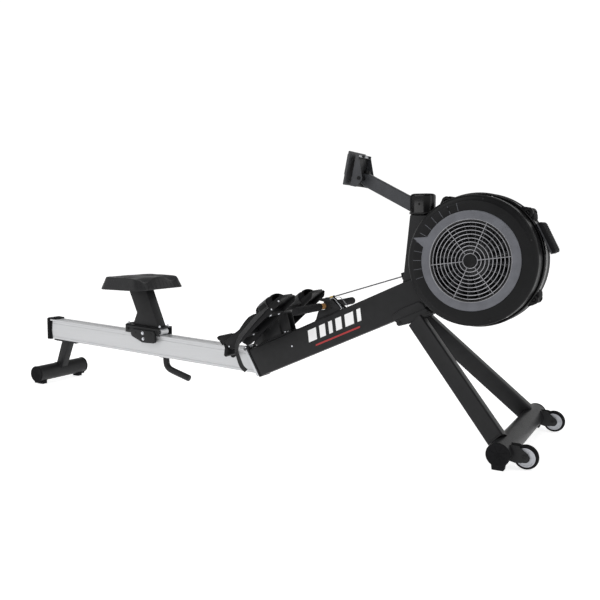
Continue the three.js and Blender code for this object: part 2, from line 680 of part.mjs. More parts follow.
// A webbing band that arches over the toes from one edge of the board to the other.
function addToeStrap(name, low, high) {
  const steps = 10;
  const arch = (rise, spread) =>
    Array.from({ length: steps + 1 }, (_, i) => {
      const angle = Math.PI * (i / steps);
      const y = (low + high) / 2 - Math.cos(angle) * ((high - low) / 2 + spread);
      return [y, Math.sin(angle) ** 0.7 * rise];
    });
  const { from, width, rise, thick } = TOE_STRAP;
  const outer = arch(rise, 5);
  const inner = arch(rise - thick, 0.6);
  const outline = [[low - 5, -2], ...outer, [high + 5, -2], [high + 0.6, -2], ...inner.reverse(),
    [low - 0.6, -2]];
  const shape = new THREE.Shape(outline.map(([y, out]) => new THREE.Vector2(y, out)));
  const options = { depth: width, bevelEnabled: false };
  const band = new THREE.ExtrudeGeometry(shape, options);
  const [ax, az] = footAt(from, 0);
  const [c, s] = [Math.cos(FOOT_TURN), Math.sin(FOOT_TURN)];
  const basis = new THREE.Matrix4().makeBasis(
    new THREE.Vector3(0, 1, 0), new THREE.Vector3(-s, 0, c), new THREE.Vector3(c, 0, s));
  band.applyMatrix4(basis);
  band.translate(ax, 0, az);
  add(`toe_strap_${name}`, "webbing", band);
}

// ---- rail -----------------------------------------------------------------------------------
function addRail() {
  const rear = { x: RAIL.rear };
  const front = { offset: -RAIL_PLATE - GAP };
  const body = slab(strip(railTop, -RAIL.depth, 0.5, rear, front), -RAIL.half, RAIL.half);
  const track = slab(strip(railTop, 0, TRACK.rise, rear, front), -TRACK.half, TRACK.half);
  const reach = { rear: { x: RAIL.rear - 50 }, front: { offset: 50 } };
  const hollow = strip(railTop, WALL - RAIL.depth, -WALL, reach.rear, reach.front);
  const groove = strip(railTop, TRACK.rise - TRACK.grooveDepth, TRACK.rise + 9,
    reach.rear, reach.front);
  const pinHole = crossRod(LOCK.x, LOCK.z, -40, -10, LOCK.radius + 0.7);
  add("rail", "aluminium", cut(
    join(body, track), slab(hollow, WALL - RAIL.half, RAIL.half - WALL),
    slab(groove, -TRACK.groove, TRACK.groove), pinHole));
}

function addRailPlate() {
  const [hx, hz] = HINGE;
  const back = -RAIL_PLATE;
  const outline = [mitre(-6, back), mitre(116, back), mitre(116, -0.15), mitre(-6, -0.15)];
  const plate = slab(outline, -31, 31);
  const ear = [mitre(-12, back + 4), mitre(-2, back + 4), mitre(-2, -0.15), mitre(-16, -0.15)];
  const knuckle = crossRod(hx, hz, -14, 14, KNUCKLE_RADIUS);
  const away = ring(KNUCKLE_RADIUS + 3, KNUCKLE_RADIUS + 60, -14.2, 14.2, hx, hz, 24);
  const window = [...arc(hx, hz, 76, 190, 330, 12), ...arc(hx, hz, 48, 190, 330, 10).reverse()];
  const leaf = join(plate, slab(ear, -14, 14), knuckle);
  add("rail_end_plate", "aluminium", cut(leaf, slab(window, -14, 14), crossRod(hx, hz, -50, 50, 3.6)));
}

function addLock() {
  const shaft = crossRod(LOCK.x, LOCK.z, -44, -16, LOCK.radius);
  const knob = crossRod(LOCK.x, LOCK.z, -58, -42, 13, 20);
  add("lock_pin", "plastic", join(shaft, knob));
}

function addRailEnd() {
  const [low, high] = [RAIL.rear - 19, RAIL.rear - GAP];
  const face = [
    [low, railBottom(low) - 2], [high, railBottom(high) - 2], [high, trackTop(high) + 5],
    [low, trackTop(low) + 3],
  ];
  const bumper = [
    [high - 2, trackTop(high) + GAP], [RAIL.rear + 17, trackTop(RAIL.rear + 17) + GAP],
    [RAIL.rear + 17, trackTop(RAIL.rear + 17) + 3], [high - 2, trackTop(high) + 5],
  ];
  add("rail_end_cap", "rubber", join(slab(face, -36, 36), slab(bumper, -33, 33)));
}

function addRearFoot() {
  const under = (x) => railBottom(x) - GAP;
  const plate = [[-2287, under(-2287)], [-2136, under(-2136)], [-2136, under(-2136) - 5],
    [-2287, under(-2287) - 5]];
  const post = [[-2237, 204], [-2195, 204], [-2253, TUBE_Z + 6], [-2295, TUBE_Z + 6]];
  const tube = ring(TUBE_RADIUS - WALL, TUBE_RADIUS, -REAR_HALF_WIDTH, REAR_HALF_WIDTH,
    REAR_FOOT_X, TUBE_Z, 32);
  const inner = [[-2239, 192], [-2203, 192], [-2271, 20], [-2307, 20]];
  const column = cut(slab(post, -20, 20), slab(inner, WALL - 20, 20 - WALL));
  const clear = crossRod(REAR_FOOT_X, TUBE_Z, -100, 100, TUBE_RADIUS - 1.5, 32);
  const vent = block([-2283, -8, TUBE_Z + 20], [-2267, 8, TUBE_Z + 50]);
  const foot = join(slab(plate, -30, 30), tube, cut(column, clear));
  add("rear_foot", "paint", cut(foot, vent));
  for (const [name, side] of Object.entries(SIDES)) {
    add(`rear_cap_${name}`, "rubber", endCap(REAR_FOOT_X, side, REAR_HALF_WIDTH, REAR_PAD_INSET));
  }
}

function addLiftHandle() {
  const top = railBottom(-1595) - GAP;
  const points = [
    [-1595, 0, top - 0.8], [-1594.5, 0, top - 20], [-1590, 0, 138], [-1576, 0, 124],
    [-1553, 0, 115], [-1510, 0, 103], [-1463, 0, 90],
  ];
  add("lift_handle", "paint", pipe(points, 14.5, 18));
}

// ---- seat and its carriage ------------------------------------------------------------------
function seatRing(inset, z) {
  const { rear, front, half, corner } = SEAT;
  const [x, a, b] = [(rear + front) / 2, (front - rear) / 2 - inset, half - inset];
  const corners = [[a, b, 0], [-a, b, 90], [-a, -b, 180], [a, -b, 270]];
  return corners.flatMap(([cx, cy, start]) => {
    const mid = [cx - Math.sign(cx) * corner, cy - Math.sign(cy) * corner];
    return arc(x + mid[0], mid[1], corner, start, start + 90, 5).map(([px, py]) => [px, py, z]);
  });
}

function addSeat() {
  const { low, high, inset } = SEAT;
  const rings = [seatRing(2, low), seatRing(0, low + 6), seatRing(inset - 6, high - 6),
    seatRing(inset, high)];
  const hollow = loft([seatRing(9, low - 1), seatRing(9, low + 6), seatRing(inset + 4, high - 14)]);
  const boss = block([-1802, -42, low - 2], [-1680, 42, high - 10]);
  add("seat_pad", "foam", cut(loft(rings), cut(hollow, boss)));
  const post = [
    [-1793.8, low - GAP], [-1744, 375.8], [-1766.4, 325], [-1767, trackTop(-1767) + 36.3],
    [-1616.5, trackTop(-1616.5) + 36.3], [-1619.4, 322.1], [-1688.7, low - GAP],
  ];
  const midX = -1692;
  const inside = post.map(([x, z]) => [
    x + (x < midX ? WALL : -WALL) * 1.06,
    z + (z > 400 ? 10 : z < 300 ? -10 : 0),
  ]);
  inside[6][0] = post[6][0] - WALL * 1.06;
  add("seat_post", "paint", cut(slab(post, -27, 27), slab(inside, WALL - 27, 27 - WALL)));
}

function addCarriage() {
  const { rear, front, half, plate, top } = CARRIAGE;
  const pieces = [slab(strip(trackTop, 30, top, { x: rear }, { x: front }), -half, half)];
  for (const side of Object.values(SIDES)) {
    const [low, high] = [(half - plate) * side, half * side].sort((a, b) => a - b);
    pieces.push(slab(strip(trackTop, -2, top, { x: rear }, { x: front }), low, high));
    const [inner, outer] = [(half - plate) * side, (half + 10) * side].sort((a, b) => a - b);
    const cheek = [
      [-1757, trackTop(-1757) - 8], [-1690, 243], [-1622, 243], [-1615, 250],
      [-1615, trackTop(-1615) + 28], [-1757, trackTop(-1757) + 28],
    ];
    pieces.push(slab(cheek, inner, outer));
    const guideZ = railTop(GUIDE.x) - GUIDE.radius - GAP;
    const [pinLow, pinHigh] = [(GUIDE.inner + 0.5) * side, (half + 14) * side].sort((a, b) => a - b);
    pieces.push(crossRod(GUIDE.x, guideZ, pinLow, pinHigh, 3.2, 12));
  }
  for (const x of Object.values(ROLLER.places)) {
    pieces.push(crossRod(x, trackTop(x) + ROLLER.radius + GAP, -half - 4, half + 4, 4, 12));
  }
  add("seat_carriage", "paint", join(...pieces));
}

function addRollers() {
  for (const [name, x] of Object.entries(ROLLER.places)) {
    const z = trackTop(x) + ROLLER.radius + GAP;
    add(`roller_${name}`, "nylon", ring(4.5, ROLLER.radius, -ROLLER.half, ROLLER.half, x, z, 24));
  }
  for (const [name, side] of Object.entries(SIDES)) {
    const z = railTop(GUIDE.x) - GUIDE.radius - GAP;
    const [low, high] = [GUIDE.inner * side, GUIDE.outer * side].sort((a, b) => a - b);
    add(`guide_roller_${name}`, "nylon", ring(3.7, GUIDE.radius, low, high, GUIDE.x, z, 20));
  }
}

addBeam();
addBeamEndPlate();
addSaddle();
addLegs();
addFrontCrossbar();
addFrontCaps();
addWheels();
addPost();
addPostCapAndArm();
addConsole();
addDrum();
addBand();
addGrille();
addDamper();
addFanInside();
addCarrySlab();
addHandle();
addHolder();
addReturnCord();
addFootBracket();
addFootboards();
addRail();
addRailPlate();
addLock();
addRailEnd();
addRearFoot();
addLiftHandle();
addSeat();
addCarriage();
addRollers();

machine.position.x = -CENTRE_X;
export default machine;
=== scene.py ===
"""Looks of the rowing machine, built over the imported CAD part. Metres, +X forward, +Z up."""

import math

import bmesh
import bpy
from mathutils import Matrix, Vector


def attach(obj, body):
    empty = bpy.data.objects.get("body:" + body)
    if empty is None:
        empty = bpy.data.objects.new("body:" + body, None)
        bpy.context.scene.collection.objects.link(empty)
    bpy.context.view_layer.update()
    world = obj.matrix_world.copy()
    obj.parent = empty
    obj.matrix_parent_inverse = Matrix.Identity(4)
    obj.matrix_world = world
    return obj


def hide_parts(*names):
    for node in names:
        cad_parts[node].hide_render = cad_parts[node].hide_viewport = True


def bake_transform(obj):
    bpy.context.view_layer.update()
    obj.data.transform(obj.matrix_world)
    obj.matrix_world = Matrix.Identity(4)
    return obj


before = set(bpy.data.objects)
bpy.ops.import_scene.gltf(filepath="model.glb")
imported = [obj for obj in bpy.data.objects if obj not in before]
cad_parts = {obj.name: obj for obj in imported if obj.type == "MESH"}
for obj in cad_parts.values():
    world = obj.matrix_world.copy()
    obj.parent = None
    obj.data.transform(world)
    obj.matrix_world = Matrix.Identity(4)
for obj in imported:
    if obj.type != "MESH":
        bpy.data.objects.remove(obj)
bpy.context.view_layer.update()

# Lengths are drawn from the axis of the front crossbar, then moved to the part's own origin.
ORIGIN = 1.1045
SIDES = {"right": -1, "left": 1}


# ---- materials ------------------------------------------------------------------------------
def material(name, color, rough, metal=0.0, vary=0.15, scale=30.0, grain=0.0, grain_scale=900.0,
             stretch=(1, 1, 1), rough_vary=0.06, coat=0.0, cells=False, sheen=0.0, level=0.5):
    """A surface whose colour and roughness drift a little, with a fine grain in the normal."""
    mat = bpy.data.materials.new(name)
    mat.use_nodes = True
    nodes, links = mat.node_tree.nodes, mat.node_tree.links
    shader = nodes["Principled BSDF"]
    shader.inputs["Metallic"].default_value = metal
    shader.inputs["Coat Weight"].default_value = coat
    shader.inputs["Coat Roughness"].default_value = 0.08
    shader.inputs["Sheen Weight"].default_value = sheen
    shader.inputs["Specular IOR Level"].default_value = level

    place = nodes.new("ShaderNodeTexCoord")
    mapping = nodes.new("ShaderNodeMapping")
    mapping.inputs["Scale"].default_value = stretch
    links.new(place.outputs["Object"], mapping.inputs["Vector"])

    drift = nodes.new("ShaderNodeTexNoise")
    drift.inputs["Scale"].default_value = scale
    drift.inputs["Detail"].default_value = 6
    links.new(mapping.outputs["Vector"], drift.inputs["Vector"])

    ramp = nodes.new("ShaderNodeValToRGB")
    ramp.color_ramp.elements[0].position = 0.3
    ramp.color_ramp.elements[1].position = 0.7
    ramp.color_ramp.elements[0].color = [c * (1 - vary) for c in color] + [1]
    ramp.color_ramp.elements[1].color = [min(1, c * (1 + vary)) for c in color] + [1]
    links.new(drift.outputs["Fac"], ramp.inputs["Fac"])
    links.new(ramp.outputs["Color"], shader.inputs["Base Color"])

    spread = nodes.new("ShaderNodeMapRange")
    spread.inputs["To Min"].default_value = max(0.02, rough - rough_vary)
    spread.inputs["To Max"].default_value = min(1, rough + rough_vary)
    links.new(drift.outputs["Fac"], spread.inputs["Value"])
    links.new(spread.outputs["Result"], shader.inputs["Roughness"])

    if grain:
        kind = "ShaderNodeTexVoronoi" if cells else "ShaderNodeTexNoise"
        fine = nodes.new(kind)
        fine.inputs["Scale"].default_value = grain_scale
        links.new(mapping.outputs["Vector"], fine.inputs["Vector"])
        bump = nodes.new("ShaderNodeBump")
        bump.inputs["Strength"].default_value = grain
        bump.inputs["Distance"].default_value = 0.001
        links.new(fine.outputs["Distance" if cells else "Fac"], bump.inputs["Height"])
        links.new(bump.outputs["Normal"], shader.inputs["Normal"])
    return mat


def woven(name, color):
    """Webbing: a fine twill of raised threads along the strap's own length and width."""
    mat = material(name, color, 0.85, vary=0.2, scale=60, sheen=0.3)
    nodes, links = mat.node_tree.nodes, mat.node_tree.links
    place = nodes.new("ShaderNodeTexCoord")
    waves = []
    for direction, size in (("X", 420.0), ("Y", 300.0)):
        wave = nodes.new("ShaderNodeTexWave")
        wave.bands_direction = direction
        wave.inputs["Scale"].default_value = size
        wave.inputs["Distortion"].default_value = 0.4
        links.new(place.outputs["UV"], wave.inputs["Vector"])
        waves.append(wave)
    both = nodes.new("ShaderNodeMath")
    both.operation = "MULTIPLY"
    links.new(waves[0].outputs["Fac"], both.inputs[0])
    links.new(waves[1].outputs["Fac"], both.inputs[1])
    bump = nodes.new("ShaderNodeBump")
    bump.inputs["Strength"].default_value = 0.6
    bump.inputs["Distance"].default_value = 0.0006
    links.new(both.outputs["Value"], bump.inputs["Height"])
    links.new(bump.outputs["Normal"], nodes["Principled BSDF"].inputs["Normal"])
    return mat


PAINT = material("powder_coat", (0.012, 0.0122, 0.013), 0.44, grain=0.16, grain_scale=1500, level=0.2)
PAINT_GREY = material("grey_paint", (0.036, 0.0375, 0.042), 0.42, grain=0.1, grain_scale=1500, level=0.3)
PLASTIC = material("moulded_plastic", (0.0055, 0.0056, 0.0061), 0.4, grain=0.1, grain_scale=1800,
                   level=0.14)
GLOSS = material("glossy_plastic", (0.002, 0.002, 0.0023), 0.2, vary=0.1, rough_vary=0.04, level=0.2)
DARK = material("dark_inside", (0.004, 0.004, 0.0045), 0.7, vary=0.3)
CASE = material("console_plastic", (0.038, 0.039, 0.042), 0.48, grain=0.1, grain_scale=1800, level=0.35)
VANE = material("fan_plastic", (0.03, 0.031, 0.034), 0.45, grain=0.05, level=0.4)
CHAIN = material("oiled_chain", (0.115, 0.115, 0.12), 0.36, metal=0.8, vary=0.2, scale=120)
RING = material("satin_grey_plastic", (0.088, 0.091, 0.105), 0.36, grain=0.05, grain_scale=1600)
# Grey wire of the grille, also used for the painted highlight on the damper ring's inner edge.
WIRE_AND_PAINTED_RIM_HIGHLIGHT = material("grille_wire_and_painted_rim_highlight", (0.27, 0.27, 0.285), 0.36, metal=0.4, grain=0.04)
ALLOY = material("anodised_alloy", (0.5, 0.505, 0.515), 0.36, metal=0.35, vary=0.03, scale=12,
                 stretch=(0.6, 30, 30), grain=0.05, grain_scale=220)
CAST = material("cast_alloy", (0.56, 0.57, 0.59), 0.45, metal=0.35, vary=0.06, grain=0.2, grain_scale=1100)
STEEL = material("bright_steel", (0.56, 0.57, 0.6), 0.24, metal=1.0, vary=0.08, grain=0.05)
RUBBER = material("rubber", (0.0085, 0.0085, 0.0092), 0.78, grain=0.15, grain_scale=1300, level=0.08)
FOAM = material("foam_grip", (0.011, 0.011, 0.012), 0.92, grain=0.5, grain_scale=1500, cells=True,
                level=0.2)
SEAT_SKIN = material("seat_skin", (0.0125, 0.0127, 0.0138), 0.5, grain=0.3, grain_scale=700, cells=True,
                     level=0.3)
BEECH = material("varnished_wood", (0.4, 0.205, 0.075), 0.4, vary=0.35, scale=16, stretch=(9, 1, 9),
                 coat=0.35)
BRASS = material("brass", (0.56, 0.4, 0.14), 0.32, metal=1.0, vary=0.15)
WEBBING = woven("webbing", (0.012, 0.012, 0.013))
# White nylon for the rollers, also used as painted light in the console bracket's slots.
NYLON_AND_PAINTED_SLOT_LIGHT = material("white_nylon_and_painted_slot_light", (0.74, 0.75, 0.77), 0.38, vary=0.05)
HUB = material("wheel_hub", (0.42, 0.43, 0.46), 0.35, vary=0.08, grain=0.05)
GLASS = material("blank_screen", (0.055, 0.068, 0.06), 0.12, vary=0.12, scale=5, coat=0.6)
STRIPE = material("white_stripe", (0.82, 0.82, 0.82), 0.5, vary=0.03)
RED = material("red_stripe", (0.35, 0.012, 0.014), 0.5, vary=0.05)
KEYS = material("button_rubber", (0.1, 0.105, 0.115), 0.6, vary=0.1, grain=0.08)


# ---- solids ---------------------------------------------------------------------------------
class Piece:
    """One visual piece, gathered from simple solids, each with its own material."""

    def __init__(self, name, body, slot, mat):
        self.name, self.body, self.slot, self.mat = name, body, slot, mat
        self.bm = bmesh.new()
        self.uv = self.bm.loops.layers.uv.new("along")
        self.mats = []

    def _take(self, bm, mat, bevel=0.0, steps=2, angle=28):
        """Bevels a solid, gives it its material and adds it to the piece."""
        bmesh.ops.recalc_face_normals(bm, faces=bm.faces)
        if bevel:
            limit = math.radians(angle)
            edges = [e for e in bm.edges if len(e.link_faces) == 2 and e.calc_face_angle() > limit]
            bmesh.ops.bevel(bm, geom=edges, offset=bevel, offset_type="OFFSET", segments=steps, profile=0.5,
                            affect="EDGES", clamp_overlap=True)
        mat = mat or self.mat
        if mat not in self.mats:
            self.mats.append(mat)
        index = self.mats.index(mat)
        for face in bm.faces:
            face.material_index = index
        mesh = bpy.data.meshes.new("part")
        bm.to_mesh(mesh)
        bm.free()
        self.bm.from_mesh(mesh)
        bpy.data.meshes.remove(mesh)
        return self

    def prism(self, outline, y_low, y_high, bevel=0.0015, steps=2, mat=None):
        """A side-view outline in X and Z, solid between two Y values."""
        bm = bmesh.new()
        rings = [[bm.verts.new((x, y, z)) for x, z in outline] for y in (y_low, y_high)]
        bm.faces.new(rings[0])
        bm.faces.new(rings[1][::-1])
        for i in range(len(outline)):
            j = (i + 1) % len(outline)
            bm.faces.new((rings[0][i], rings[0][j], rings[1][j], rings[1][i]))
        return self._take(bm, mat, bevel, steps)

    def mirrored(self, outline, y_low, y_high, bevel=0.0015, steps=2, mat=None):
        for side in (-1, 1):
            self.prism(outline, *span(side, y_low, y_high), bevel, steps, mat)
        return self

    def box(self, low, high, bevel=0.0015, steps=2, turn=None, mat=None):
        bm = bmesh.new()
        bmesh.ops.create_cube(bm, size=1)
        low, high = Vector(low), Vector(high)
        place = Matrix.Translation((low + high) / 2) @ Matrix.Diagonal((*(high - low), 1))
        bmesh.ops.transform(bm, matrix=(turn or Matrix()) @ place, verts=bm.verts)
        return self._take(bm, mat, bevel, steps)

    def loft(self, rings, closed=False, bevel=0.0, steps=2, mat=None):
        """A skin over rings of points."""
        bm = bmesh.new()
        made = [[bm.verts.new(p) for p in ring] for ring in rings]
        count = len(rings[0])
        pairs = list(zip(made, made[1:])) + ([(made[-1], made[0])] if closed else [])
        for a, b in pairs:
            for i in range(count):
                j = (i + 1) % count
                bm.faces.new((a[i], a[j], b[j], b[i]))
        if not closed:
            bm.faces.new(made[0][::-1])
            bm.faces.new(made[-1])
        return self._take(bm, mat, bevel, steps)

    def lathe(self, profile, x, z, sides=96, start=0.0, turn=360.0, mat=None):
        """A closed profile of [radius, y] turned about an axis across the machine."""
        whole = abs(turn - 360) < 1e-6
        count = sides if whole else sides + 1
        rings = []
        for i in range(count):
            a = math.radians(start + turn * i / sides)
            rings.append([(x + r * math.cos(a), y, z + r * math.sin(a)) for r, y in profile])
        return self.loft(rings, closed=whole, mat=mat)

    def disc(self, profile, x, z, sides=96, mat=None):
        """A profile of [radius, y] that starts and ends on the axis."""
        bm = bmesh.new()
        rings = [[bm.verts.new((x + u, y, z + v)) for u, v in circle(r, sides)] for r, y in profile[1:-1]]
        ends = [bm.verts.new((x, profile[k][1], z)) for k in (0, -1)]
        for i in range(sides):
            j = (i + 1) % sides
            bm.faces.new((ends[0], rings[0][i], rings[0][j]))
            bm.faces.new((ends[1], rings[-1][j], rings[-1][i]))
            for a, b in zip(rings, rings[1:]):
                bm.faces.new((a[i], b[i], b[j], a[j]))
        return self._take(bm, mat)

    def sweep(self, points, section, up=(0, 0, 1), bevel=0.0, mat=None):
        """A section of (side, up) offsets carried along a path."""
        path = [Vector(p) for p in points]
        rings = []
        side = None
        for i, p in enumerate(path):
            along = (path[min(i + 1, len(path) - 1)] - path[max(i - 1, 0)]).normalized()
            if side is None:
                side = along.cross(Vector(up)).normalized()
            side = (side - along * side.dot(along)).normalized()
            high = side.cross(along)
            rings.append([p + side * u + high * v for u, v in section])
        return self.loft(rings, bevel=bevel, mat=mat)

    def rod(self, a, b, radius, sides=24, bevel=0.0008, mat=None):
        a, b = Vector(a), Vector(b)
        length, along, rings = (b - a).length, (b - a).normalized(), []
        side, high = across(along)
        bevel = min(bevel, radius * 0.4, length * 0.4)
        ends = ((0, 0), (length, 0))
        steps = ((0, bevel), (bevel, 0), (length - bevel, 0), (length, bevel)) if bevel else ends
        for t, shrink in steps:
            rings.append([a + along * t + side * u + high * v for u, v in circle(radius - shrink, sides)])
        return self.loft(rings, mat=mat)

    def pin(self, x, z, y_low, y_high, radius, sides=24, bevel=0.0008, mat=None):
        """A rod across the machine."""
        return self.rod((x, y_low, z), (x, y_high, z), radius, sides, bevel, mat)

    def bolt(self, at, way, radius, height, mat=None):
        """A button-head screw: a domed head with a socket in it."""
        at, way = Vector(at), Vector(way).normalized()
        side, high = across(way)
        steps = ((1.0, -0.1), (1.0, 0.3), (0.86, 0.75), (0.6, 1.0), (0.42, 1.0), (0.4, 0.45))
        rings = []
        for scale, lift in steps:
            rings.append([at + way * height * lift + side * u + high * v for u,
                          v in circle(radius * scale, 18)])
        return self.loft(rings, mat=mat or STEEL)

    def side_bolts(self, x, y, z, radius, height, mat=None):
        for side in (-1, 1):
            self.bolt((x, side * y, z), (0, side, 0), radius, height, mat)

    def ribbon(self, points, widths, width, thick, mat=None):
        """Webbing along a path; widths gives its width direction at each point."""
        path = [Vector(p) for p in points]
        bm = bmesh.new()
        uv = bm.loops.layers.uv.new("along")
        run, rings, lengths = 0.0, [], []
        for i, p in enumerate(path):
            along = (path[min(i + 1, len(path) - 1)] - path[max(i - 1, 0)]).normalized()
            wide = Vector(widths[i])
            wide = (wide - along * wide.dot(along)).normalized()
            face = wide.cross(along)
            run += (p - path[i - 1]).length if i else 0
            lengths.append(run)
            w, t = width / 2, thick / 2
            corners = [(-w, -t * 0.4), (-w, t * 0.4), (-w + t, t), (0, t), (w - t, t), (w, t * 0.4),
                       (w, -t * 0.4), (w - t, -t), (0, -t), (-w + t, -t)]
            rings.append(([bm.verts.new(p + wide * u + face * v) for u, v in corners],
                          [u for u, _ in corners]))
        for k in range(len(rings) - 1):
            (a, u), (b, _) = rings[k], rings[k + 1]
            for i in range(len(a)):
                j = (i + 1) % len(a)
                made = bm.faces.new((a[i], a[j], b[j], b[i]))
                spots = ((u[i], lengths[k]), (u[j], lengths[k]), (u[j], lengths[k + 1]),
                         (u[i], lengths[k + 1]))
                for loop, spot in zip(made.loops, spots):
                    loop[uv].uv = spot
        bm.faces.new(rings[0][0][::-1])
        bm.faces.new(rings[-1][0])
        return self._take(bm, mat)

    def cut(self, *cutters):
        """Takes the solids of other pieces out of this one."""
        self.cutters = cutters
        return self

    def mesh_object(self, name):
        mesh = bpy.data.meshes.new(name)
        bmesh.ops.recalc_face_normals(self.bm, faces=self.bm.faces)
        self.bm.to_mesh(mesh)
        self.bm.free()
        for mat in self.mats:
            mesh.materials.append(mat)
        mesh.transform(Matrix.Translation((ORIGIN, 0, 0)))
        obj = bpy.data.objects.new(name, mesh)
        bpy.context.collection.objects.link(obj)
        return obj

    def done(self, *swaps, smooth=38, ride=True):
        obj = self.mesh_object(self.name)
        for cutter in getattr(self, "cutters", ()):
            tool = cutter.mesh_object("cutter")
            change = obj.modifiers.new("cut", "BOOLEAN")
            change.object, change.operation, change.solver = tool, "DIFFERENCE", "EXACT"
            bpy.context.view_layer.objects.active = obj
            bpy.ops.object.modifier_apply(modifier="cut")
            bpy.data.objects.remove(tool, do_unlink=True)
        obj.data.shade_smooth()
        obj.data.set_sharp_from_angle(angle=math.radians(smooth))
        if swaps:
            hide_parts(*swaps)
        if ride:
            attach(obj, self.body)
        return obj


def across(way):
    """Two directions at right angles to a way and to each other."""
    side = way.cross(Vector((0, 0, 1) if abs(way.z) < 0.9 else (1, 0, 0))).normalized()
    return side, side.cross(way)


def span(side, low, high):
    """Two distances from the middle, as Y values on one side, lower first."""
    return sorted((side * low, side * high))


def on(line, x, lift):
    """The point at x that lies so far above a line of the machine."""
    return (x, line(x) + lift)


def strip(line, a, b, low, high):
    """An outline that follows a line of the machine from a to b, between two lifts."""
    return [on(line, a, low), on(line, b, low), on(line, b, high), on(line, a, high)]


def arc(x, z, radius, start, end, count=8):
    angles = [math.radians(start + (end - start) * i / count) for i in range(count + 1)]
    return [(x + radius * math.cos(a), z + radius * math.sin(a)) for a in angles]


def round_section(wide, high, corner, count=4):
    a, b = wide / 2 - corner, high / 2 - corner
    spots = ((a, b, 0), (-a, b, 90), (-a, -b, 180), (a, -b, 270))
    return [p for x, y, start in spots for p in arc(x, y, corner, start, start + 90, count)]


def patch(at, a, b):
    """A four-cornered outline in a slanting frame, between two places each way."""
    return [at(a[0], b[0]), at(a[1], b[0]), at(a[1], b[1]), at(a[0], b[1])]


def both(half, y=0.0):
    """A profile's first half, then its mirror image about y."""
    return [(r, y + d) for r, d in half] + [(r, y - d) for r, d in reversed(half)]


def circle(radius, count=20):
    return [(radius * math.cos(math.tau * i / count), radius * math.sin(math.tau * i / count))
            for i in range(count)]


def smooth_path(points, steps=6):
    """More points through the given ones, on a Catmull-Rom curve."""
    p = [Vector(q) for q in points]
    p = [2 * p[0] - p[1], *p, 2 * p[-1] - p[-2]]
    out = []
    for i in range(1, len(p) - 2):
        for k in range(steps):
            t = k / steps
            out.append(0.5 * (2 * p[i] + (p[i + 1] - p[i - 1]) * t
                              + (2 * p[i - 1] - 5 * p[i] + 4 * p[i + 1] - p[i + 2]) * t * t
                              + (3 * p[i] - p[i - 1] - 3 * p[i + 1] + p[i + 2]) * t ** 3))
    return [*out, p[-2]]


def dress(node, mat, bevel=0.0006):
    """A CAD node shown as it is, with its edges broken and a material of its own."""
    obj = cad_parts[node]
    obj.data.materials.clear()
    obj.data.materials.append(mat)
    if bevel:
        edge = obj.modifiers.new("edges", "BEVEL")
        edge.width, edge.segments, edge.limit_method = bevel, 2, "ANGLE"
        edge.angle_limit = math.radians(35)


# ---- lines that parts share -----------------------------------------------------------------
def beam_top(x):
    return 0.4769 + 0.459 * (x + 0.636)


def rail_top(x):
    return 0.2481 - 0.0447 * (x + 1.1)


def track_top(x):
    return rail_top(x) + 0.008


def rail_bottom(x):
    return rail_top(x) - 0.0915


def mitre(down, forward):
    """A point so far down the joint of rail and beam, and so far forward of it."""
    a = math.radians(-59.8)
    return (-1.1277 + math.cos(a) * down - math.sin(a) * forward, 0.2512 + math.sin(a) * down
            + math.cos(a) * forward)


def mitre_meets(line, forward):
    (x0, z0), (x1, z1) = mitre(0, forward), mitre(1, forward)
    slope = line(1) - line(0)
    down = (line(x0) - z0) / (z1 - z0 - slope * (x1 - x0))
    return mitre(down, forward)


BEAM_DROP = 0.1332
SLOPE = math.atan(0.459)
FOOT_TURN = math.radians(37.6)
BEAM_OUT = Vector((-math.sin(SLOPE), 0, math.cos(SLOPE)))
FOOT_OUT = Vector((-math.sin(FOOT_TURN), 0, math.cos(FOOT_TURN)))
BAR_HEIGHT = 0.0516
REAR_BAR = -2.283
WHEEL = (0.078, 0.2519, 0.0422)
LOCK = (-1.188, 0.232)
AXLES = {"rear": -1.784, "front": -1.613}
AXLE_LIFT = 0.0143
GUIDE = -1.684


# ---- beam, legs and floor bars --------------------------------------------------------------
def beam_at(along, down):
    """A point on the beam's side: along it from its measured top point, and down from its top."""
    c, s = math.cos(SLOPE), math.sin(SLOPE)
    return (-0.636 + c * along + s * down, 0.4769 + s * along - c * down)


def build_beam():
    front = -0.325
    low = mitre_meets(lambda x: beam_top(x) - BEAM_DROP, 0.0083)
    outline = [low, (front, beam_top(front) - BEAM_DROP), (front, beam_top(front)),
               mitre_meets(beam_top, 0.0083)]
    beam = Piece("beam_tube", "frame", "painted_steel", PAINT)
    beam.prism(outline, -0.038, 0.038, bevel=0.006, steps=3)
    for side in (-1, 1):
        beam.bolt((-0.9086, 0.038 * side, 0.29), (0, side, 0), 0.0042, 0.002)
        y = sorted((0.0378 * side, 0.0383 * side))
        start = -0.245
        for wide in (0.04, 0.028, 0.018, 0.028, 0.04, 0.018):
            bar = [beam_at(start, 0.07), beam_at(start + wide, 0.07), beam_at(start + wide + 0.014, 0.024),
                   beam_at(start + 0.014, 0.024)]
            beam.prism(bar, *y, bevel=0, mat=STRIPE)
            start += wide + 0.016
        line = [beam_at(-0.222, 0.094), beam_at(-0.01, 0.094), beam_at(-0.008, 0.0875),
                beam_at(-0.22, 0.0875)]
        beam.prism(line, *y, bevel=0, mat=RED)
    for along in (-0.3, 0.05):
        pad = patch(beam_at, (along, along + 0.02), (0.0, -0.0012))
        beam.prism(pad, -0.01, 0.01, bevel=0.0004, mat=PLASTIC)
    beam.done("main_beam")
    dress("beam_end_plate", PAINT, 0.0008)
    dress("hinge_pin", STEEL, 0.0005)


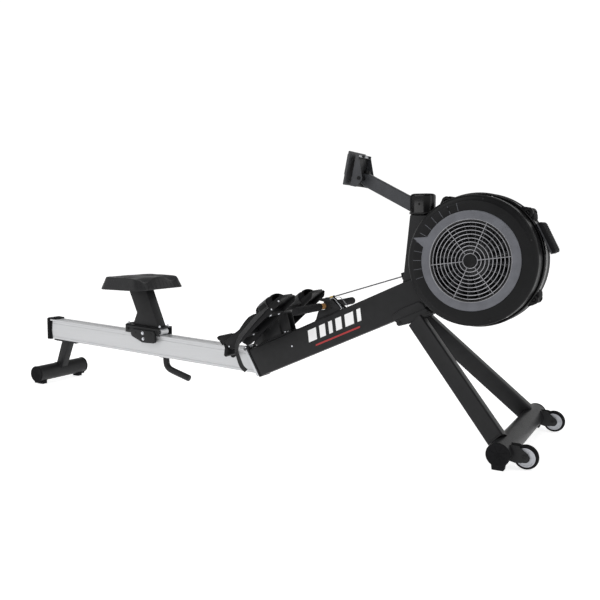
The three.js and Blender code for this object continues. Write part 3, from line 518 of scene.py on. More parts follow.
def build_saddle():
    saddle = Piece("leg_saddle_body", "frame", "painted_steel", PAINT)
    upper = [(-0.4715, 0.435), (-0.468, 0.447), (-0.4366, 0.4692), (-0.3674, 0.5011), (-0.351, 0.493),
             (-0.3426, 0.4791), (-0.3391, 0.47), (-0.456, 0.417)]
    saddle.mirrored(upper, 0.0384, 0.0455, bevel=0.0022, steps=2)
    lower = [(-0.4526, 0.428), (-0.3391, 0.478), (-0.3135, 0.4625), (-0.3233, 0.4545), (-0.4045, 0.4165),
             (-0.444, 0.405), (-0.453, 0.411)]
    saddle.prism(lower, -0.05, 0.05, bevel=0.003, steps=3)
    for x, z in ((-0.438, 0.419), (-0.335, 0.464)):
        saddle.side_bolts(x, 0.05, z, 0.0065, 0.003, PAINT)
    saddle.done("leg_saddle")


def build_legs():
    section = round_section(0.042, 0.064, 0.007)
    for name, side in SIDES.items():
        a, b = Vector((-0.379, 0.036 * side, 0.432)), Vector((0.0, 0.23 * side, BAR_HEIGHT))
        way = (b - a).normalized()
        leg = Piece(f"leg_tube_{name}", "frame", "painted_steel", PAINT)
        leg.sweep([a + way * 0.006, b - way * 0.034], section, up=(1, 0, 0.9))
        bead = round_section(0.0445, 0.0645, 0.009)
        leg.sweep([b - way * 0.0415, b - way * 0.0385], bead, up=(1, 0, 0.9), bevel=0.001)
        leg.done(f"leg_{name}")


def floor_tube(piece, x, half):
    r, z = 0.0381, BAR_HEIGHT
    profile = [(r - 0.003, -half), (r - 0.0008, -half), (r, -half + 0.001), (r, half - 0.001),
               (r - 0.0008, half), (r - 0.003, half)]
    piece.lathe(profile, x, z, sides=64)


def end_cap(name, body, node, x, side, half, inset=0.0):
    """The moulded cap of a floor bar: a ribbed disc over a pad that stands on the floor."""
    z, r = BAR_HEIGHT, 0.0393
    cap = Piece(name, body, "rubber", RUBBER)
    y = [side * (half + d) for d in (0.0003, 0.0042, 0.0058, 0.006, 0.0048)]
    cap.disc([(0, y[0]), (r - 0.001, y[0]), (r, y[0] + side * 0.0006), (r, y[1]), (r - 0.002, y[2]),
              (r - 0.005, y[3]), (r - 0.0075, y[4]), (0, y[4])], x, z, sides=56)
    for turn in range(4):
        a = math.radians(45 * turn + 22.5)
        reach = 0.03
        cap.rod((x - reach * math.cos(a), y[4], z - reach * math.sin(a)),
                (x + reach * math.cos(a), y[4], z + reach * math.sin(a)), 0.0011, 8)
    pad = [(x - 0.019, 0.0), (x + 0.019, 0.0), (x + 0.0195, 0.003), (x + 0.0219, 0.024),
           (x - 0.0219, 0.024), (x - 0.0195, 0.003)]
    reach = -inset if inset else 0.002
    inner, outer = sorted((side * (half - 0.026 - inset), side * (half + reach)))
    cap.prism(pad, inner, outer, bevel=0.0018)
    if inset:
        tongue = [(x - 0.014, 0.008), (x + 0.014, 0.008), (x + 0.014, 0.024), (x - 0.014, 0.024)]
        cap.prism(tongue, *span(side, half - inset - 0.002, half + 0.0055), bevel=0.0018)
    for i in range(5):
        gx = x - 0.014 + 0.007 * i
        cap.box((gx - 0.0015, inner + 0.003, -0.0), (gx + 0.0015, outer - 0.003, 0.001), 0.0)
    cap.done(node)


def build_front_bar():
    bar = Piece("front_bar_tube", "frame", "painted_steel", PAINT)
    floor_tube(bar, 0.0, 0.305)
    for side in (-1, 1):
        x, y, z = WHEEL[0], WHEEL[1] * side, WHEEL[2]
        for low in (y - 0.0178, y + 0.0143):
            arm = [(0.02, 0.028), (0.046, 0.022), *arc(0.0755, z, 0.0165, -100, 50, 12), (0.058, 0.077),
                   (0.052, 0.079), (0.026, 0.079), (0.012, 0.085)]
            bar.prism(arm, low, low + 0.0035, bevel=0.0012)
        bar.prism([(0.026, 0.034), (0.036, 0.035), (0.036, 0.062), (0.026, 0.07)], y - 0.0145, y + 0.0145,
                  bevel=0.001)
        for end in (-1, 1):
            bar.pin(x, z, y + end * 0.0178, y + end * 0.0208, 0.0105, 24)
            bar.bolt((x, y + end * 0.0208, z), (0, end, 0), 0.0062, 0.0022, PAINT)
        bar.pin(x, z, y - 0.0175, y + 0.0175, 0.005, 16, mat=STEEL)
    bar.done("front_crossbar")
    for name, side in SIDES.items():
        end_cap(f"front_bar_cap_{name}", "frame", f"front_cap_{name}", 0.0, side, 0.305)


def build_wheels():
    for name, side in SIDES.items():
        x, y, z = WHEEL[0], WHEEL[1] * side, WHEEL[2]
        wheel = Piece(f"wheel_{name}_tyre_and_hub", f"wheel_{name}", "rubber", HUB)
        tyre = both([(0.0308, -0.0118), (0.035, -0.0122), (0.0388, -0.009), (0.04, -0.004)], y)
        wheel.lathe(tyre, x, z, sides=64, mat=RUBBER)
        hub = both([(0.0058, -0.0115), (0.0105, -0.0115), (0.0115, -0.0095), (0.0265, -0.0092),
                    (0.028, -0.0115), (0.031, -0.0119)], y)
        wheel.lathe(hub, x, z, sides=64)
        for k in range(6):
            a = math.tau * k / 6
            for face in (-1, 1):
                wheel.rod((x + 0.011 * math.cos(a), y + face * 0.0094, z + 0.011 * math.sin(a)),
                          (x + 0.0275 * math.cos(a), y + face * 0.0094, z + 0.0275 * math.sin(a)), 0.0014,
                          8)
        wheel.done(f"transport_wheel_{name}")


# ---- post, arm and console ------------------------------------------------------------------
def chain_at(along, up=0.0):
    c, s = math.cos(math.radians(17.55)), math.sin(math.radians(17.55))
    return (-0.7366 + c * along - s * up, 0.4989 + s * along + c * up)


def build_post():
    post = Piece("post_tube", "frame", "painted_steel", PAINT)
    outline = [on(beam_top, -0.44, -0.004), on(beam_top, -0.3523, -0.004), (-0.3317, 0.8225),
               (-0.4157, 0.8225)]
    post.prism(outline, -0.03, 0.03, bevel=0.0065, steps=3)
    slot = Piece("slot", "frame", "painted_steel", DARK)
    slot.prism(patch(chain_at, (0.27, 0.4), (-0.008, 0.008)), -0.007, 0.007, bevel=0)
    post.cut(slot)
    post.done("fan_post")

    guide = Piece("chain_guide_frame", "frame", "black_plastic", PLASTIC)
    for low, high in ((-0.0135, -0.0055), (0.0055, 0.0135)):
        guide.prism(patch(chain_at, (0.3015, 0.3135), (low, high)), -0.013, 0.013, bevel=0.0012)
    for low, high in ((-0.013, -0.006), (0.006, 0.013)):
        guide.prism(patch(chain_at, (0.3015, 0.3135), (-0.006, 0.006)), low, high, bevel=0.0008)
    guide.done("chain_guide")

    x, rings = -0.37575, []
    for inset, z in ((0.0015, 0.8225), (0.0, 0.8245), (0.0, 0.83), (0.0022, 0.8325), (0.0022, 0.888),
                     (0.0034, 0.8935), (0.007, 0.897), (0.0125, 0.8988)):
        rings.append([(x + px, py, z) for px, py in round_section(0.0992 - 2 * inset, 0.076 - 2 * inset,
                                                                  0.0365 - inset, count=12)])
    cap = Piece("post_cap_cover", "frame", "gloss_plastic", GLOSS)
    cap.loft(rings)
    cap.side_bolts(x - 0.002, 0.0358, 0.86, 0.0042, 0.0016, GLOSS)
    cap.done("post_cap", smooth=50)


PIVOT = (-0.6094, 0.9587)


def build_arm():
    arm = Piece("console_arm_tube", "frame", "painted_steel", PAINT_GREY)
    a, b = Vector((PIVOT[0], 0, PIVOT[1])), Vector((-0.38, 0, 0.8405))
    way = (b - a).normalized()
    section = round_section(0.03, 0.05, 0.006)
    arm.sweep([a + way * 0.008, b - way * 0.03], section)
    ear = [(PIVOT[0] + x, PIVOT[1] + z) for x, z in [*arc(0, 0, 0.0205, 62, 242, 12), (0.012, -0.0325),
                                                     (0.034, 0.008)]]
    arm.prism(ear, -0.0149, 0.0149, bevel=0.002)
    arm.rod((-0.605, 0, 0.972), (-0.603, 0, 0.979), 0.007, 24, mat=PLASTIC)
    arm.rod((-0.604, 0, 0.978), (-0.601, 0, 0.9895), 0.0125, 32, bevel=0.002, mat=PLASTIC)
    arm.done("monitor_arm")


TILT = math.radians(10.8)


def console_at(up, forward):
    c, s = math.cos(TILT), math.sin(TILT)
    return (-0.6725 + s * up + c * forward, 0.9344 + c * up - s * forward)


def console_box(piece, up, forward, y_low, y_high, bevel, steps=2, mat=None):
    outline = [console_at(up[0], forward[0]), console_at(up[0], forward[1]), console_at(up[1], forward[1]),
               console_at(up[1], forward[0])]
    return piece.prism(outline, y_low, y_high, bevel, steps, mat)


def build_console():
    case = Piece("console_case", "console", "black_plastic", CASE)
    console_box(case, (0.0, 0.131), (0.009, 0.027), -0.075, 0.075, 0.004, 3)
    console_box(case, (0.0015, 0.1295), (0.0, 0.0096), -0.0735, 0.0735, 0.0035, 3)
    for up, y in ((0.012, 0.062), (0.119, 0.062), (0.012, -0.062), (0.119, -0.062)):
        x, z = console_at(up, 0.027)
        case.bolt((x, y, z), (math.cos(TILT), 0, -math.sin(TILT)), 0.0028, 0.0012, DARK)
    for up in (0.046, 0.053, 0.06, 0.067, 0.074, 0.081):
        console_box(case, (up, up + 0.0022), (0.0265, 0.0278), -0.03, 0.03, 0.0004)
    window = Piece("window", "console", "black_plastic", PLASTIC)
    console_box(window, (0.04, 0.118), (-0.01, 0.003), -0.054, 0.054, 0.0)
    holes = [window]
    for i in (-1, 0, 1):
        hole = Piece("hole", "console", "black_plastic", PLASTIC)
        (x0, z0), (x1, z1) = console_at(0.017, -0.005), console_at(0.017, 0.011)
        hole.rod((x0, i * 0.034, z0), (x1, i * 0.034, z1), 0.0074, 28, bevel=0)
        holes.append(hole)
    case.cut(*holes)
    case.done("console_housing")

    screen = Piece("console_glass", "console", "screen", DARK)
    console_box(screen, (0.0403, 0.1177), (0.0008, 0.0027), -0.0537, 0.0537, 0.0004, mat=GLASS)
    for up, wide in ((0.104, 0.04), (0.098, 0.03)):
        console_box(screen, (up, up + 0.0012), (0.00065, 0.001), -wide, wide, 0.0)
    for y in (-0.018, 0.018):
        console_box(screen, (0.05, 0.092), (0.00065, 0.001), y - 0.0005, y + 0.0005, 0.0)
    screen.done("console_screen")

    for i, name in enumerate(("menu", "select", "power")):
        y = (i - 1) * 0.034
        key = Piece(f"key_{name}", f"button_{name}", "rubber", KEYS)
        rings = []
        for forward, r in ((0.0078, 0.0069), (0.0002, 0.0069), (-0.0012, 0.0064), (-0.0019, 0.005),
                           (-0.0016, 0.0028)):
            rings.append([(console_at(0.017 + u, forward)[0], y + v, console_at(0.017 + u, forward)[1])
                          for u, v in circle(r, 28)])
        key.loft(rings)
        key.done(f"button_{name}")

    bracket = Piece("console_cradle", "console", "grey_metal", PAINT_GREY)
    front = 0.0273
    cheek = [console_at(0.002, front), (-0.6215, 0.9262), *arc(*PIVOT, 0.0125, -38, 18, 5),
             console_at(0.1205, front + 0.01), console_at(0.1205, front)]
    bracket.mirrored(cheek, 0.0572, 0.0602, bevel=0.0008)
    console_box(bracket, (0.002, 0.118), (front, front + 0.0025), -0.06, 0.06, 0.0006, mat=PAINT)
    # Two white strips down in the slots: painted light, standing for the light that shows through the
    # slots.
    for low, high in ((-0.052, -0.006), (0.006, 0.052)):
        console_box(bracket, (0.1142, 0.1218), (front + 0.0002, front + 0.0034), low, high, 0.0, mat=NYLON_AND_PAINTED_SLOT_LIGHT)
    console_box(bracket, (0.1125, 0.114), (front, front + 0.012), -0.06, 0.06, 0.0006)
    console_box(bracket, (0.122, 0.124), (front, front + 0.012), -0.06, 0.06, 0.0006)
    for low, high in ((-0.06, -0.054), (-0.004, 0.004), (0.054, 0.06)):
        console_box(bracket, (0.1136, 0.1224), (front, front + 0.0118), low, high, 0.0004)
    bracket.pin(PIVOT[0], PIVOT[1], -0.0635, 0.063, 0.004, 20, mat=STEEL)
    bracket.pin(PIVOT[0], PIVOT[1], -0.0655, -0.0604, 0.0075, 6, mat=PLASTIC)
    for side in (-1, 1):
        bracket.pin(PIVOT[0], PIVOT[1], side * 0.0158, side * 0.057, 0.0078, 24, mat=PLASTIC)
    bracket.done("console_bracket")

    knob = Piece("tilt_knob_grip", "console", "black_plastic", PLASTIC)
    lobes = []
    for y, r in ((0.0633, 0.0105), (0.065, 0.0128), (0.079, 0.0128), (0.0815, 0.0112), (0.082, 0.006)):
        lobes.append([(PIVOT[0] + r * k * math.cos(a), y, PIVOT[1] + r * k * math.sin(a)) for a,
                      k in ((math.tau * i / 48, 1 + 0.06 * math.cos(6 * math.tau * i / 48))
                            for i in range(48))])
    knob.loft(lobes)
    knob.done("tilt_knob")


# ---- fan drum -------------------------------------------------------------------------------
FAN = (-0.16, 0.66)


def fan_at(radius, degrees):
    a = math.radians(degrees)
    return (FAN[0] + radius * math.cos(a), FAN[1] + radius * math.sin(a))


def build_drum():
    x, z = FAN
    face = Piece("drum_right_cover", "frame", "black_plastic", PLASTIC)
    profile = [(0.1493, -0.116), (0.1493, -0.1195), (0.151, -0.12), (0.2062, -0.12), (0.2072, -0.1196),
               (0.2086, -0.1182), (0.218, -0.1165), (0.224, -0.113), (0.2262, -0.1105), (0.2275, -0.108),
               (0.228, -0.105), (0.228, -0.045), (0.2262, -0.0405), (0.224, -0.0405), (0.224, -0.104),
               (0.218, -0.111), (0.208, -0.115)]
    face.lathe(profile, x, z, sides=160)
    for i in range(11):
        middle = 105.0 + 9.5 * i
        line = [fan_at(0.1765, middle - 0.22), fan_at(0.206, middle - 0.19), fan_at(0.206, middle + 0.19),
                fan_at(0.1765, middle + 0.22)]
        face.prism(line, -0.1203, -0.1198, bevel=0, mat=RING)
    sight = [fan_at(r, a) for r, a in ((0.1885, 117), (0.1885, 112), (0.1885, 107), (0.201, 107),
                                       (0.201, 112), (0.201, 117))]
    face.prism(sight, -0.1203, -0.1198, bevel=0, mat=GLOSS)
    for degrees in (20, 80, 224, 290):
        px, pz = fan_at(0.215, degrees)
        face.bolt((px, -0.1166, pz), (0, -1, 0), 0.0032, 0.0018, DARK)
    face.done("fan_shell_right")

    back = Piece("drum_left_cover", "frame", "black_plastic", PLASTIC)
    profile = [(0.0, 0.116), (0.0, 0.12), (0.04, 0.12), (0.044, 0.1185), (0.166, 0.1185), (0.174, 0.117),
               (0.19, 0.1115), (0.203, 0.102), (0.214, 0.086), (0.2225, 0.07), (0.2268, 0.056),
               (0.228, 0.045), (0.2262, 0.0405), (0.224, 0.0405), (0.2195, 0.07), (0.1995, 0.101),
               (0.172, 0.115), (0.04, 0.116)]
    back.lathe(profile, x, z, sides=128)
    for radius in (0.062, 0.092, 0.122, 0.152):
        ridge = [(radius - 0.0022, 0.118), (radius - 0.0012, 0.1197), (radius + 0.0012, 0.1197),
                 (radius + 0.0022, 0.118)]
        back.lathe(ridge, x, z, sides=96)
    for i in range(12):
        (ax, az), (bx, bz) = fan_at(0.046, 15 + 30 * i), fan_at(0.168, 15 + 30 * i)
        back.rod((ax, 0.1182, az), (bx, 0.1182, bz), 0.0018, 8)
    for degrees in (30, 102, 174, 246, 318):
        px, pz = fan_at(0.184, degrees)
        back.bolt((px, 0.1136, pz), (0, 1, 0), 0.0045, 0.0022, DARK)
    back.done("fan_shell_left")


def build_band():
    x, z = FAN
    band = Piece("drum_band", "frame", "gloss_plastic", GLOSS)
    hoop = both([(0.2284, -0.0432), (0.2335, -0.0436), (0.2366, -0.0405), (0.238, -0.036), (0.2376, -0.03),
                 (0.2345, -0.0255)])
    band.lathe(hoop, x, z, sides=150, start=-136, turn=272)
    for degrees in (119, 44, -33):
        swell = [fan_at(r, degrees + a) for r, a in ((0.234, -8.6), (0.2425, -6.6), (0.25, -4.0),
                                                     (0.2525, 0), (0.25, 4.0), (0.2425, 6.6), (0.234, 8.6))]
        band.prism(swell, -0.0335, 0.0335, bevel=0.0022, steps=3, mat=RUBBER)
        cx, cz = fan_at(0.2385, degrees)
        collar = [(0.006, 0.0), (0.008, 0.004), (0.015, 0.0046), (0.0176, 0.0026), (0.018, 0.0)]
        for side in (-1, 1):
            band.lathe([(r, side * (0.0334 + d)) for r, d in collar], cx, cz, sides=40)
            band.bolt((cx, side * 0.034, cz), (0, side, 0), 0.0062, 0.0024, GLOSS)
        for shift in (-0.017, 0.017):
            (ax, az) = fan_at(0.2523, degrees)
            band.box((ax - 0.006, shift - 0.004, az - 0.0015), (ax + 0.006, shift + 0.004, az + 0.0015),
                     0.001)
    band.done("fan_band")


def build_grille():
    x, z = FAN
    grille = Piece("inlet_grille", "frame", "grey_plastic", WIRE_AND_PAINTED_RIM_HIGHLIGHT)
    rim = [(0.1372, -0.116), (0.1372, -0.118), (0.1395, -0.1198), (0.148, -0.1198), (0.149, -0.1188),
           (0.149, -0.116)]
    grille.lathe(rim, x, z, sides=128, mat=DARK)
    for radius in (0.0255, *(0.0385 + 0.0135 * i for i in range(8))):
        wire = [(radius + u, -0.1185 + v) for u, v in circle(0.0016, 8)]
        grille.lathe(wire, x, z, sides=112)
    for i in range(6):
        (ax, az), (bx, bz) = fan_at(0.0245, 7.5 + 60 * i), fan_at(0.14, 7.5 + 60 * i)
        grille.rod((ax, -0.1204, az), (bx, -0.1204, bz), 0.0014, 10)
    hub = [(0.0, -0.114), (0.0225, -0.114), (0.0235, -0.115), (0.0235, -0.1205), (0.0222, -0.1222),
           (0.019, -0.1228), (0.0165, -0.1214), (0.0, -0.1211)]
    grille.disc(hub, x, z, sides=64, mat=PLASTIC)
    grille.done("fan_grille")


def build_damper():
    x, z = FAN
    ring = Piece("damper_dial", "damper", "grey_plastic", RING)
    profile = [(0.1422, -0.1204), (0.1422, -0.1222), (0.1438, -0.1244), (0.147, -0.125), (0.1695, -0.125),
               (0.1728, -0.124), (0.1742, -0.1222), (0.1742, -0.1204)]
    ring.lathe(profile, x, z, sides=160)
    # A lighter metal lip round the ring's inner edge: a painted highlight along that edge.
    edge = [(0.1418, -0.1206), (0.1418, -0.1228), (0.1432, -0.1248), (0.1444, -0.125), (0.1444, -0.1236),
            (0.1426, -0.1206)]
    ring.lathe(edge, x, z, sides=160, mat=WIRE_AND_PAINTED_RIM_HIGHLIGHT)
    tip = 159.5
    base_low, base_high = fan_at(0.1715, tip - 7.5), fan_at(0.1715, tip + 6.0)
    point, ridge = fan_at(0.2205, tip), fan_at(0.168, tip - 0.5)
    bm = bmesh.new()
    back = [bm.verts.new((px, -0.1204, pz)) for px, pz in (base_low, point, base_high)]
    front = [bm.verts.new((px, py, pz)) for (px, pz), py in ((base_low, -0.123), (point, -0.1222),
                                                             (base_high, -0.123), (ridge, -0.1252))]
    for corner in ((front[0], front[1], front[3]), (front[1], front[2], front[3]),
                   (front[2], front[0], front[3]), back):
        bm.faces.new(corner)
    for i in range(3):
        j = (i + 1) % 3
        bm.faces.new((back[i], back[j], front[j], front[i]))
    ring._take(bm, RING)
    ring.done("damper_ring", smooth=30)


def build_fan_inside():
    x, z = FAN
    wheel = Piece("fan_wheel_vanes", "fan", "black_plastic", VANE)
    wheel.lathe([(0.0068, -0.0918), (0.024, -0.0918), (0.0258, -0.09), (0.0258, -0.0142),
                 (0.0068, -0.0142)], x, z, sides=48)
    wheel.lathe([(0.025, -0.0418), (0.1985, -0.0418), (0.1998, -0.0405), (0.1985, -0.0392),
                 (0.025, -0.0392)], x, z, sides=96)
    for i in range(20):
        middle, rings = 18 * i, []
        for radius in (0.06, 0.095, 0.13, 0.165, 0.1975):
            thick = math.degrees(0.0016 / radius)
            ring = []
            for lean, y in ((-1, -0.0975), (1, -0.0412)):
                slant = lean * math.degrees(0.0105 / radius)
                ring.append([(*fan_at(radius, middle + slant + k * thick), y) for k in (-1, 1)])
            (a, b), (c, d) = ring
            rings.append([(p[0], p[2], p[1]) for p in (a, b, d, c)])
        wheel.loft(rings, bevel=0.0005)
    wheel.done("fan_wheel")
    dress("fan_axle", STEEL, 0.0004)
    dress("drive_sprocket", STEEL, 0.0003)
    dress("return_bungee", WEBBING, 0)


def build_bumper():
    bumper = Piece("front_bumper_block", "frame", "black_plastic", RUBBER)
    turn = math.radians(27 - 90)
    c, s = math.cos(turn), math.sin(turn)
    mid = fan_at(0.249, 19)

    def at(along, out):
        return (mid[0] + c * along - s * out, mid[1] + s * along + c * out)

    plate = patch(at, (-0.0575, 0.0575), (-0.009, -0.0032))
    bumper.prism(plate, -0.044, 0.044, bevel=0.001, mat=PAINT_GREY)
    body = [at(-0.0565, -0.0034), at(0.0565, -0.0034), at(0.0575, 0.006), at(0.05, 0.0098),
            at(-0.05, 0.0098), at(-0.0575, 0.006)]
    bumper.prism(body, -0.044, 0.044, bevel=0.0025, steps=3)
    for i in range(15):
        along = -0.0455 + 0.0065 * i
        rib = [at(along - 0.0016, 0.0092), at(along + 0.0016, 0.0092), at(along + 0.001, 0.0112),
               at(along - 0.001, 0.0112)]
        bumper.prism(rib, -0.04, 0.04, bevel=0.0004)
    for along in (-0.03, 0.03):
        stem = patch(at, (along - 0.009, along + 0.009), (-0.0145, -0.008))
        bumper.prism(stem, -0.022, 0.022, bevel=0.0015, mat=PLASTIC)
    bumper.done("front_bumper")


# ---- handle, chain and holder ---------------------------------------------------------------
HANDLE = (-0.774, 0.46)


def build_handle():
    x, z = HANDLE
    bar = Piece("handle_bar_wood", "handle", "wood", BEECH)
    bar.disc(both([(0, -0.246), (0.0115, -0.246), (0.0125, -0.244)]), x, z, sides=40)
    bar.done("handle_bar")
    for name, side in SIDES.items():
        grip = Piece(f"foam_grip_{name}", "handle", "foam", FOAM)
        outer = [(0.0138, 0.058), (0.015, 0.0588), (0.0155, 0.0604)]
        for i in range(1, 30):
            outer.append((0.0155 - 0.0003 * math.sin(math.pi * i / 30), 0.0604 + 0.1856 * i / 30))
        outer += [(0.0155, 0.246), (0.0152, 0.251), (0.0138, 0.254), (0.0108, 0.255)]
        rings = []
        for r, y in [(0.0127, 0.246), (0.0127, 0.058), *outer, (0.004, 0.2551)]:
            rings.append([(x + u, side * y, z + v) for u, v in circle(r, 48)])
        grip.loft(rings)
        grip.done(f"grip_{name}", smooth=45)


def build_swivel():
    x, z = HANDLE
    swivel = Piece("chain_swivel_clevis", "handle", "brass", BRASS)
    strap = [*arc(x, z, 0.0129, 118, -42, 12), *arc(x, z, 0.0165, -42, 20, 5), (-0.756, 0.48),
             (-0.7545, 0.49), (-0.76, 0.4955), (-0.768, 0.4925), *arc(x, z, 0.0165, 80, 118, 4)]
    for y in (-0.0085, 0.0035):
        swivel.prism(strap, y, y + 0.005, bevel=0.0008, mat=PLASTIC)
    body = [chain_at(-0.0215, -0.0048), chain_at(-0.005, -0.0044), chain_at(-0.005, 0.0044),
            chain_at(-0.0215, 0.0048)]
    swivel.prism(body, -0.0034, 0.0034, bevel=0.001)
    (ax, az), (bx, bz) = chain_at(-0.019), chain_at(-0.0045)
    swivel.rod((ax, 0, az), (bx, 0, bz), 0.0052, 24)
    (ax, az), (bx, bz) = chain_at(-0.0048), chain_at(0.001)
    swivel.rod((ax, 0, az), (bx, 0, bz), 0.0056, 24, mat=RUBBER)
    swivel.done("chain_swivel")


def build_chain():
    """A roller chain of 6.35 mm pitch, from the swivel into the post."""
    pitch, exit_at = 0.00635, 0.3025
    chain = Piece("roller_chain", "handle", "steel", CHAIN)
    count = int(exit_at / pitch) + 6
    for i in range(count):
        a, b = pitch * i - 0.001, pitch * (i + 1) - 0.001
        outer = i % 2
        y = 0.003 if outer else 0.002
        r = 0.0029
        c0, c1 = chain_at(a), chain_at(b)
        link = [*arc(*c0, r, 107.55, 252.55, 4), chain_at((a + b) / 2, -r * 0.66),
                *arc(*c1, r, -72.45, 107.55, 4), chain_at((a + b) / 2, r * 0.66)]
        for side in (-1, 1):
            chain.prism(link, *span(side, y, y + 0.0009), bevel=0)
        reach, radius = (0.0042, 0.0011) if outer else (0.002, 0.0018)
        for cx, cz in (c0, c1):
            chain.pin(cx, cz, -reach, reach, radius, 8, bevel=0.0003)
    obj = chain.done("pull_chain", ride=False)
    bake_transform(obj)


def build_holder():
    x, z = HANDLE
    holder = Piece("handle_cradle", "frame", "painted_steel", PAINT)
    plate = [on(beam_top, -0.808, 0.0003), on(beam_top, -0.69, 0.0003), (-0.746, 0.4935), (-0.749, 0.495),
             (-0.789, 0.4905), (-0.7915, 0.488), (-0.79, 0.4815), (-0.77, 0.478),
             *arc(x, z, 0.015, 62, -55, 10), (-0.779, 0.4452), (-0.79, 0.444), (-0.797, 0.434)]
    holder.mirrored(plate, 0.0225, 0.0262, bevel=0.0009)
    holder.prism(strip(beam_top, -0.808, -0.69, 0.0003, 0.004), -0.03, 0.03, bevel=0.001)
    wall = [(-0.747, 0.432), (-0.702, 0.452), (-0.708, 0.46), (-0.751, 0.441)]
    holder.prism(wall, -0.024, 0.024, bevel=0.001)
    for side in (-1, 1):
        for bx, bz in ((-0.74, 0.474), (-0.74, 0.454)):
            holder.bolt((bx, 0.0262 * side, bz), (0, side, 0), 0.0038, 0.0018, PAINT)
        wire = smooth_path([(-0.743, side * 0.027, 0.49), (-0.732, side * 0.0285, 0.4945),
                            (-0.723, side * 0.0295, 0.4935), (-0.708, side * 0.0295, 0.479),
                            (-0.6912, side * 0.029, 0.4581), (-0.695, side * 0.0285, 0.4515)], 5)
        holder.sweep(wire, circle(0.0016, 10), up=(0, 1, 0), mat=STEEL)
    for bx in (-0.8, -0.698):
        holder.bolt((bx, 0.0, beam_top(bx) + 0.004), BEAM_OUT, 0.005, 0.0025, STEEL)
    holder.done("handle_holder")


# ---- foot stretchers ------------------------------------------------------------------------
def foot_at(along, out):
    c, s = math.cos(FOOT_TURN), math.sin(FOOT_TURN)
    return (-1.165 + c * along - s * out, 0.285 + s * along + c * out)


FOOT_FRAME = Matrix(((math.cos(FOOT_TURN), 0, -math.sin(FOOT_TURN), -1.165), (0, 1, 0, 0),
                     (math.sin(FOOT_TURN), 0, math.cos(FOOT_TURN), 0.285), (0, 0, 0, 1)))


def foot_box(piece, along, y, out, bevel, steps=2, mat=None):
    """A box on the stretcher: along its slope, across, and out from its face."""
    y = sorted(y)
    return piece.box((along[0], y[0], out[0]), (along[1], y[1], out[1]), bevel, steps, FOOT_FRAME, mat)


def build_foot_bracket():
    bracket = Piece("foot_bracket_tubes", "frame", "painted_steel", PAINT)
    bracket.prism(strip(beam_top, -1.085, -0.915, 0.0003, 0.006), -0.036, 0.036, bevel=0.0015)
    for along, wide in ((0.118, 0.016), (0.268, 0.013)):
        foot_box(bracket, (along - wide, along + wide), (-0.1838, 0.1838), (-0.027, -0.0054), 0.003, 3)
        for side in (-1, 1):
            for y in (0.098, 0.162):
                bx, bz = foot_at(along, -0.0272)
                bracket.bolt((bx, side * y, bz), -FOOT_OUT, 0.0055, 0.003, STEEL)
    x, z = foot_at(0.118, -0.017)
    heel_strut = [on(beam_top, x - 0.021, 0.005), on(beam_top, x + 0.021, 0.005), (x + 0.013, z),
                  (x - 0.013, z)]
    gusset = [on(beam_top, -1.056, 0.005), on(beam_top, -0.962, 0.005), (-0.984, 0.392), (-1.003, 0.396),
              (-1.05, 0.342)]
    toe_strut = [on(beam_top, -0.965, 0.005), on(beam_top, -0.923, 0.005), (-0.944, 0.423), (-0.986, 0.423)]
    bracket.mirrored(heel_strut, 0.0185, 0.024, bevel=0.001)
    bracket.mirrored(gusset, 0.0262, 0.03, bevel=0.0012)
    bracket.mirrored(toe_strut, 0.0185, 0.024, bevel=0.001)
    web = [on(beam_top, -0.95, 0.005), on(beam_top, -0.938, 0.005), (-0.959, 0.423), (-0.971, 0.423)]
    bracket.prism(web, -0.019, 0.019, bevel=0.001)
    tab = [(-1.031, 0.36), (-1.031, 0.328), (-1.031, 0.304), (-1.051, 0.288), (-1.068, 0.284),
           (-1.076, 0.291), (-1.05, 0.344)]
    bracket.mirrored(tab, 0.064, 0.068, bevel=0.001)
    for side in (-1, 1):
        bracket.bolt((-1.018, side * 0.03, 0.356), (0, side, 0), 0.005, 0.0026, PAINT)
        bracket.bolt((-0.949, side * 0.024, 0.344), (0, side, 0), 0.005, 0.0026, STEEL)
        for x in (-1.072, -0.93):
            bracket.bolt((x, side * 0.033, beam_top(x) + 0.006), BEAM_OUT, 0.0045, 0.0028, STEEL)
    bracket.done("foot_bracket")


def foot_outline(spots):
    return [foot_at(along, out) for along, out in spots]


